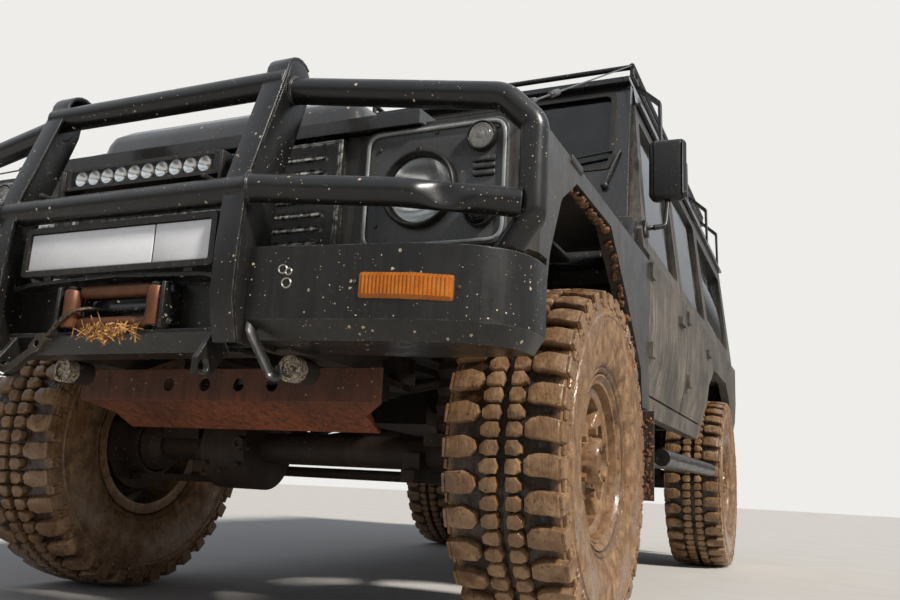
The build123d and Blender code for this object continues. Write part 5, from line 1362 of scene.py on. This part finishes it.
# Amber side lamps: ribbed moulded lenses screwed to the bumper's ends in thin black bases.
# The ribs run upright and the lens wraps with the bumper.
amber, tree, shader = material("amber_lens", Transmission_Weight=0.35, IOR=1.4)
feed(
    tree, shader, Base_Color=mixed(tree, cloud(tree, 34, 4), srgb(176, 84, 22), srgb(232, 144, 44)),
    Roughness=spread(tree, cloud(tree, 50, 4), 0.4, 0.7, 0.14, 0.5),
)


def bumper_face(x):
    """How far forward the bumper's face lies at a distance from the middle, round its fold."""
    return -848 + (x - 352) * 0.142 if x < 690 else -800 + (x - 690) * 0.382


lens_bm, base_bm, screw_bm = bmesh.new(), bmesh.new(), bmesh.new()
for side in (-1, 1):
    for form, grow, stand, ribs in ((base_bm, 4, 3, 0.0), (lens_bm, 0, 9, 1.7)):
        one = bmesh.new()
        bmesh.ops.create_grid(one, x_segments=96, y_segments=6, size=0.5)
        for v in one.verts:
            across, up = v.co.x + 0.5, v.co.y + 0.5
            x = 586 - grow + (180 + 2 * grow) * across
            z = 703 - grow + (54 + 2 * grow) * up - 5 * across
            lip = min(1.0, min(across, 1 - across) * 26, min(up, 1 - up) * 9)
            y = bumper_face(x) + 2 - (stand * lip ** 0.5 + ribs * lip * abs(math.sin(across * 24 * math.pi)))
            v.co = at(side * x, y, z)
        if side < 0:
            bmesh.ops.reverse_faces(one, faces=one.faces)
        for v in drawn_copy(one, list(one.faces))[1]:
            v.co.y += 0.003
        settled(form, one)
    for x, y, z in ((579, -817, 736), (775, -768, 727)):
        screw(screw_bm, at(side * x, y, z), (side * 0.24, -0.97, 0), 4.2)
finish_piece("amber_lamp_bases", base_bm, "body", moulded)
finish_piece("amber_lamp_lenses", lens_bm, "body", amber, smooth=20)
finish_piece("amber_lamp_screws", screw_bm, "body", steel_screw)

# Fairlead: a black welded frame with four steel rollers, their faces rusty with bright worn bands.
# The level rollers lie behind the upright ones, on pins through the frame's ears.
roller_rust = coat(
    "rusty_rollers", srgb(116, 72, 48), 0.42, metallic=0.45, film=0.15, cover=0.35, rate=90.0, rub=0.8,
    bare=srgb(198, 168, 136), dust=srgb(120, 86, 60),
)
bm = bmesh.new()
flat_frame(bm, (148, 652, 756, 6), (96, 684, 726, 6), -830, 23.7, 3)
pin_head = [(-4, 0), (-4, 13), (4, 13), (4, 0)]
for side in (-1, 1):
    block(bm, side * 143, side * 153, -858, -806.3, 652, 750, 0.003)
    for z in (668, 740):
        screw(bm, at(side * 153, -832, z), (side, 0, 0), 9)
    for z in (662, 746):
        turned(bm, pin_head, at(side * 118, -842, z), (0, 0, 1), 20)
finish_piece("fairlead_frame", bm, "body", bar_black, ["fairlead"])
bm = bmesh.new()
upright_roller = [(-41, 0), (-41, 18), (-38, 19.6), (-8, 18.8), (8, 18.8), (38, 19.6), (41, 18), (41, 0)]
for side in (-1, 1):
    turned(bm, upright_roller, at(side * 118, -842, 701), (0, 0, 1), 40)
level_roller = [(-96, 0), (-96, 13.2), (-93, 14.6), (93, 14.6), (96, 13.2), (96, 0)]
for z in (668, 740):
    turned(bm, level_roller, at(0, -832, z), (1, 0, 0), 32)
finish_piece("fairlead_rollers", bm, "body", roller_rust, smooth=30)
hook_steel = coat(
    "worn_hook", srgb(70, 62, 56), 0.42, metallic=0.6, film=0.2, cover=0.3, rate=120.0, rub=0.9,
    bare=srgb(170, 160, 148),
)
dress(hook_steel, "rope_hook")

# Light bar: a slim finned housing with ten deep lamp cups behind one clear window.
# It stands on two feet on the middle tube, each with a knob through it.
cup_pitch = 40
bm = bmesh.new()
flat_frame(bm, (228, 992, 1046, 7), (209, 1001, 1037, 5), -818, 20)
block(bm, -227, 227, -800, -772, 993, 1045, 0.003)
for z in (998, 1008, 1018, 1028, 1038):
    block(bm, -220, 220, -773, -756, z - 1.6, z + 1.6, 0.0008, 1)
knob = [(0, 0), (0, 12), (10, 13), (14, 9), (14, 0)]
for side in (-1, 1):
    block(bm, side * 227, side * 237, -826, -760, 962, 1042, 0.004)
    block(bm, side * 227, side * 237, -876, -790, 959.5, 970, 0.003)
    turned(bm, knob, at(side * 237, -794, 1019), (side, 0, 0), 24)
    for x in (100, 216):
        screw(bm, at(side * x, -818, 1041.5), forward, 2.8)
        screw(bm, at(side * x, -818, 996.5), forward, 2.8)
finish_piece("light_bar_housing", bm, "body", moulded, ["light_bar"])
cups, chips, pane = bmesh.new(), bmesh.new(), bmesh.new()
lamp_cup = [
    (-14, 0), (-13, 4.5), (-8, 11.5), (-1, 16.5), (0, 17.5), (-2, 17.8), (-15, 17.8), (-15, 0),
    (-14, 0),
]
chip = [(-13.5, 0), (-13.5, 3), (-11, 2.6), (-10, 0)]
for k in range(10):
    place = at(-180 + k * cup_pitch, -815, 1019)
    turned(cups, lamp_cup, place, forward, 28)
    turned(chips, chip, place, forward, 12)
block(pane, -208.5, 208.5, -817, -815.5, 1001.5, 1036.5, 0.0)
yellow_chip = coat("lamp_chip", srgb(222, 190, 92), 0.3, film=0.0, cover=0.0, rub=0.0)
finish_piece("light_bar_cups", cups, "body", reflector)
finish_piece("light_bar_chips", chips, "body", yellow_chip)
finish_piece("light_bar_window", pane, "body", lamp_clear)

# Straw and bark caught on the lower roller, and three ring scars struck into the bumper.
# The straw is a tangle of torn flat strips; the scars are bright raised burrs.
straw, tree, shader = material("caught_straw", Roughness=0.8)
strand = cloud(tree, 90, 3)
straw_colour = mixed(tree, spread(tree, strand, 0.4, 0.62), srgb(112, 70, 36), srgb(222, 168, 104))
feed(tree, shader, Base_Color=straw_colour)
random.seed(11)
bm = bmesh.new()
for k in range(230):
    middle = random.gauss(0.0, 0.42)
    if abs(middle) > 1:
        continue
    length = random.uniform(0.010, 0.034)
    matrix = Matrix.Translation(
        at(
            middle * 92, -856 + random.uniform(-9, 9),
            652 + random.gauss(0, 9) - 10 * (1 - abs(middle)),
        )
    )
    matrix = matrix @ Matrix.Rotation(random.uniform(0, 6.28), 4, "Y") @ Matrix.Rotation(
        random.uniform(-0.8, 0.8), 4, "Z",
    )
    bmesh.ops.create_cube(
        bm, size=1.0,
        matrix=matrix @ Matrix.Diagonal((length, 0.0008, random.uniform(0.0015, 0.004), 1)),
    )
finish_piece("caught_straw", bm, "body", straw, smooth=10)
scar, tree, shader = material("struck_burr", Metallic=0.8, Roughness=0.35)
feed(tree, shader, Base_Color=mixed(tree, cloud(tree, 200, 4), srgb(120, 112, 100), srgb(208, 204, 196)))
bm = bmesh.new()
for x, z, r in ((426, 764, 9), (439, 759, 7), (436, 736, 10)):
    burr = [(-1, r - 3), (1.2, r - 1), (1.5, r), (-1, r + 2.2), (-1, r - 3)]
    turned(bm, burr, at(x, bumper_face(x), z), (0.14, -0.99, 0), 20)
finish_piece("bumper_scars", bm, "body", scar)

# A bent steel strap hangs below the bumper's inner corner, and small repeater lamps sit high on the wings.
# The strap is flat bar, kinked back on itself; the repeaters are soft black mouldings.


def flat_bar(angle):
    """The radius of a flat bar's rounded section, at an angle round it."""
    wide, thin = 0.012, 0.0032
    return wide * thin / math.hypot(thin * math.cos(angle), wide * math.sin(angle))


bm = bmesh.new()
sweep(
    bm,
    bent(
        [(363, -832, 664), (368, -842, 640), (404, -812, 556), (420, -806, 552), (413, -806, 578)],
        [16, 20, 8], 5,
    ),
    flat_bar, 20,
)
finish_piece("bent_strap", bm, "body", bar_black, smooth=50)
bm = bmesh.new()
for side in (-1, 1):
    block(bm, side * 840, side * 850, -291, -192, 1146, 1168, 0.0045, 4)
finish_piece("wing_repeaters", bm, "body", moulded)

# Number plate: a blank white panel with a narrow end field, in a black frame on two tabs.
# It carries no lettering.
plate_white = coat(
    "plate_white", srgb(240, 241, 244), 0.30, cloudy=0.94, film=0.03, low=0.3, high=1.1, cover=0.25,
    rate=110.0, rub=0.0,
)
bm = bmesh.new()
flat_frame(bm, (272, 776, 890, 12), (258, 789, 877, 6), -862, 11.8)
block(bm, -262, 262, -853, -850, 786, 880, 0.001, 1)
for side in (-1, 1):
    block(bm, side * 188, side * 212, -850.5, -842, 768, 820, 0.002)
finish_piece("plate_holder", bm, "body", moulded, ["number_plate"])
bm = bmesh.new()
for x0, x1 in ((-256, 104), (108, 256)):
    block(bm, x0, x1, -857, -853.2, 791, 875, 0.0015)
finish_piece("blank_plate", bm, "body", plate_white)

# Guard: a bare folded plate below the bumper, rusted brown; redder and lighter low down and on faces that
# look up, such as its sloping floor, which is partly rust and partly painted light.
# Its face has four round holes.
# The lighter red on the sloping floor is partly rust and partly painted sunlight.
guard_rust_and_painted_light = coat(
    "rusted_guard_and_painted_light", srgb(66, 42, 30), 0.55, film=1.0, low=0.47, high=0.57, cover=0.45, rate=80.0,
    rub=0.8, bare=srgb(168, 126, 92), dust=srgb(140, 76, 46), speck=srgb(166, 126, 92),
)
dress(guard_rust_and_painted_light, "steering_guard")

# Door mirrors: rounded black shells on bent steel arms, each with its glass facing back.
# They ride on the front doors.
mirror_glass, tree, shader = material("mirror_glass", Metallic=1.0)
feed(
    tree, shader, Base_Color=mixed(tree, cloud(tree, 12), srgb(190, 196, 200), srgb(214, 218, 222)),
    Roughness=spread(tree, cloud(tree, 20, 4), 0.4, 0.7, 0.03, 0.16),
)
mirror_foot_z = 1407
for where, side in (("left", 1), ("right", -1)):
    bm = merged_copy("mirror_" + where)
    head = [v for v in bm.verts if v.co.z > at(0, 0, mirror_foot_z).z]
    bmesh.ops.delete(bm, geom=head, context="VERTS")
    sweep(
        bm, bent([(side * 853, 742, 1290), (side * 890, 760, 1300), (side * 892, 806, 1412)], [20]),
        0.009, 20,
    )
    one = bmesh.new()
    face, top = drawn_out(
        one,
        [
            at(side * x, y, mirror_foot_z + 1)
            for x, y in ((826, 792), (842, 778), (948, 784), (958, 800), (952, 832), (832, 832))
        ],
    )
    for v in top:
        v.co.z += 0.234
    rounded(one, one.edges, 0.021, 5)
    settled(bm, one)
    finish_piece(
        f"mirror_shell_{where}", bm, f"front_door_{where}", moulded,
        [f"mirror_{where}"],
    )
    bm = bmesh.new()
    block(bm, side * 846, side * 940, 831.5, 833, 1428, 1622, 0.0006, 1)
    finish_piece(f"mirror_glass_{where}", bm, f"front_door_{where}", mirror_glass)

# Limb risers: taut steel cables from the bull bar's outer bends up to the corners of the roof rack.
# Each has a turnbuckle low down and a socket at its foot.
cable_steel = coat(
    "riser_cable", srgb(92, 90, 88), 0.38, metallic=0.85, film=0.12, cover=0.1, rub=0.2, width=0.0005,
)
bm = bmesh.new()
turnbuckle = [(-50, 0), (-50, 4), (-45, 8), (45, 8), (50, 4), (50, 0)]
riser_socket = [(0, 0), (0, 7), (50, 6), (52, 0)]
for side in (-1, 1):
    low, high = at(side * 870, -690, 1118), at(side * 655, 1290, 2226)
    along = (high - low).normalized()
    start = low + along * 0.02
    sweep(bm, [start, (start + high) / 2, high], 0.0024, 12)
    turned(bm, turnbuckle, low + along * 0.30, along, 16)
    turned(bm, riser_socket, start, along, 16)
finish_piece("limb_risers", bm, "body", cable_steel)

# Flaps, dashboard, steering wheel and seats: rubber, plain moulded plastic and dark cloth.
# They show from the side, from behind and through the glass.
flap_mud = coat(
    "muddy_flap", srgb(26, 24, 22), 0.75, film=0.8, low=0.2, high=0.9, cover=0.7, rate=45.0, size=0.4,
    rub=0.0, dust=srgb(112, 82, 56), speck=srgb(176, 136, 96), bump_depth=0.004, grain=0.6,
)
dress(flap_mud, "mud_flaps")
random.seed(3)
bm = bmesh.new()
for side in (-1, 1):
    for k in range(150):
        reach = random.random()
        place = at(side * random.uniform(740, 852), 716, 350 + 270 * reach ** 1.2)
        radius = random.uniform(0.004, 0.014) * (1.1 - reach * 0.6)
        lump(bm, place, radius, (1.0, 0.45, random.uniform(0.7, 1.4)))
crumpled(bm, 130, 0)
finish_piece("flap_clumps", bm, "body", crust_mud, smooth=30)
dress(moulded, "dashboard", "steering_wheel")
seat_cloth = coat(
    "seat_cloth", srgb(40, 40, 42), 0.9, film=0.1, cover=0.0, rub=0.0, bump_depth=0.001, grain=0.8,
)
dress(seat_cloth, "seats")
dress(glass, "tail_glass", "front_glass_left", "front_glass_right", "rear_glass_left", "rear_glass_right")

low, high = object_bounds()
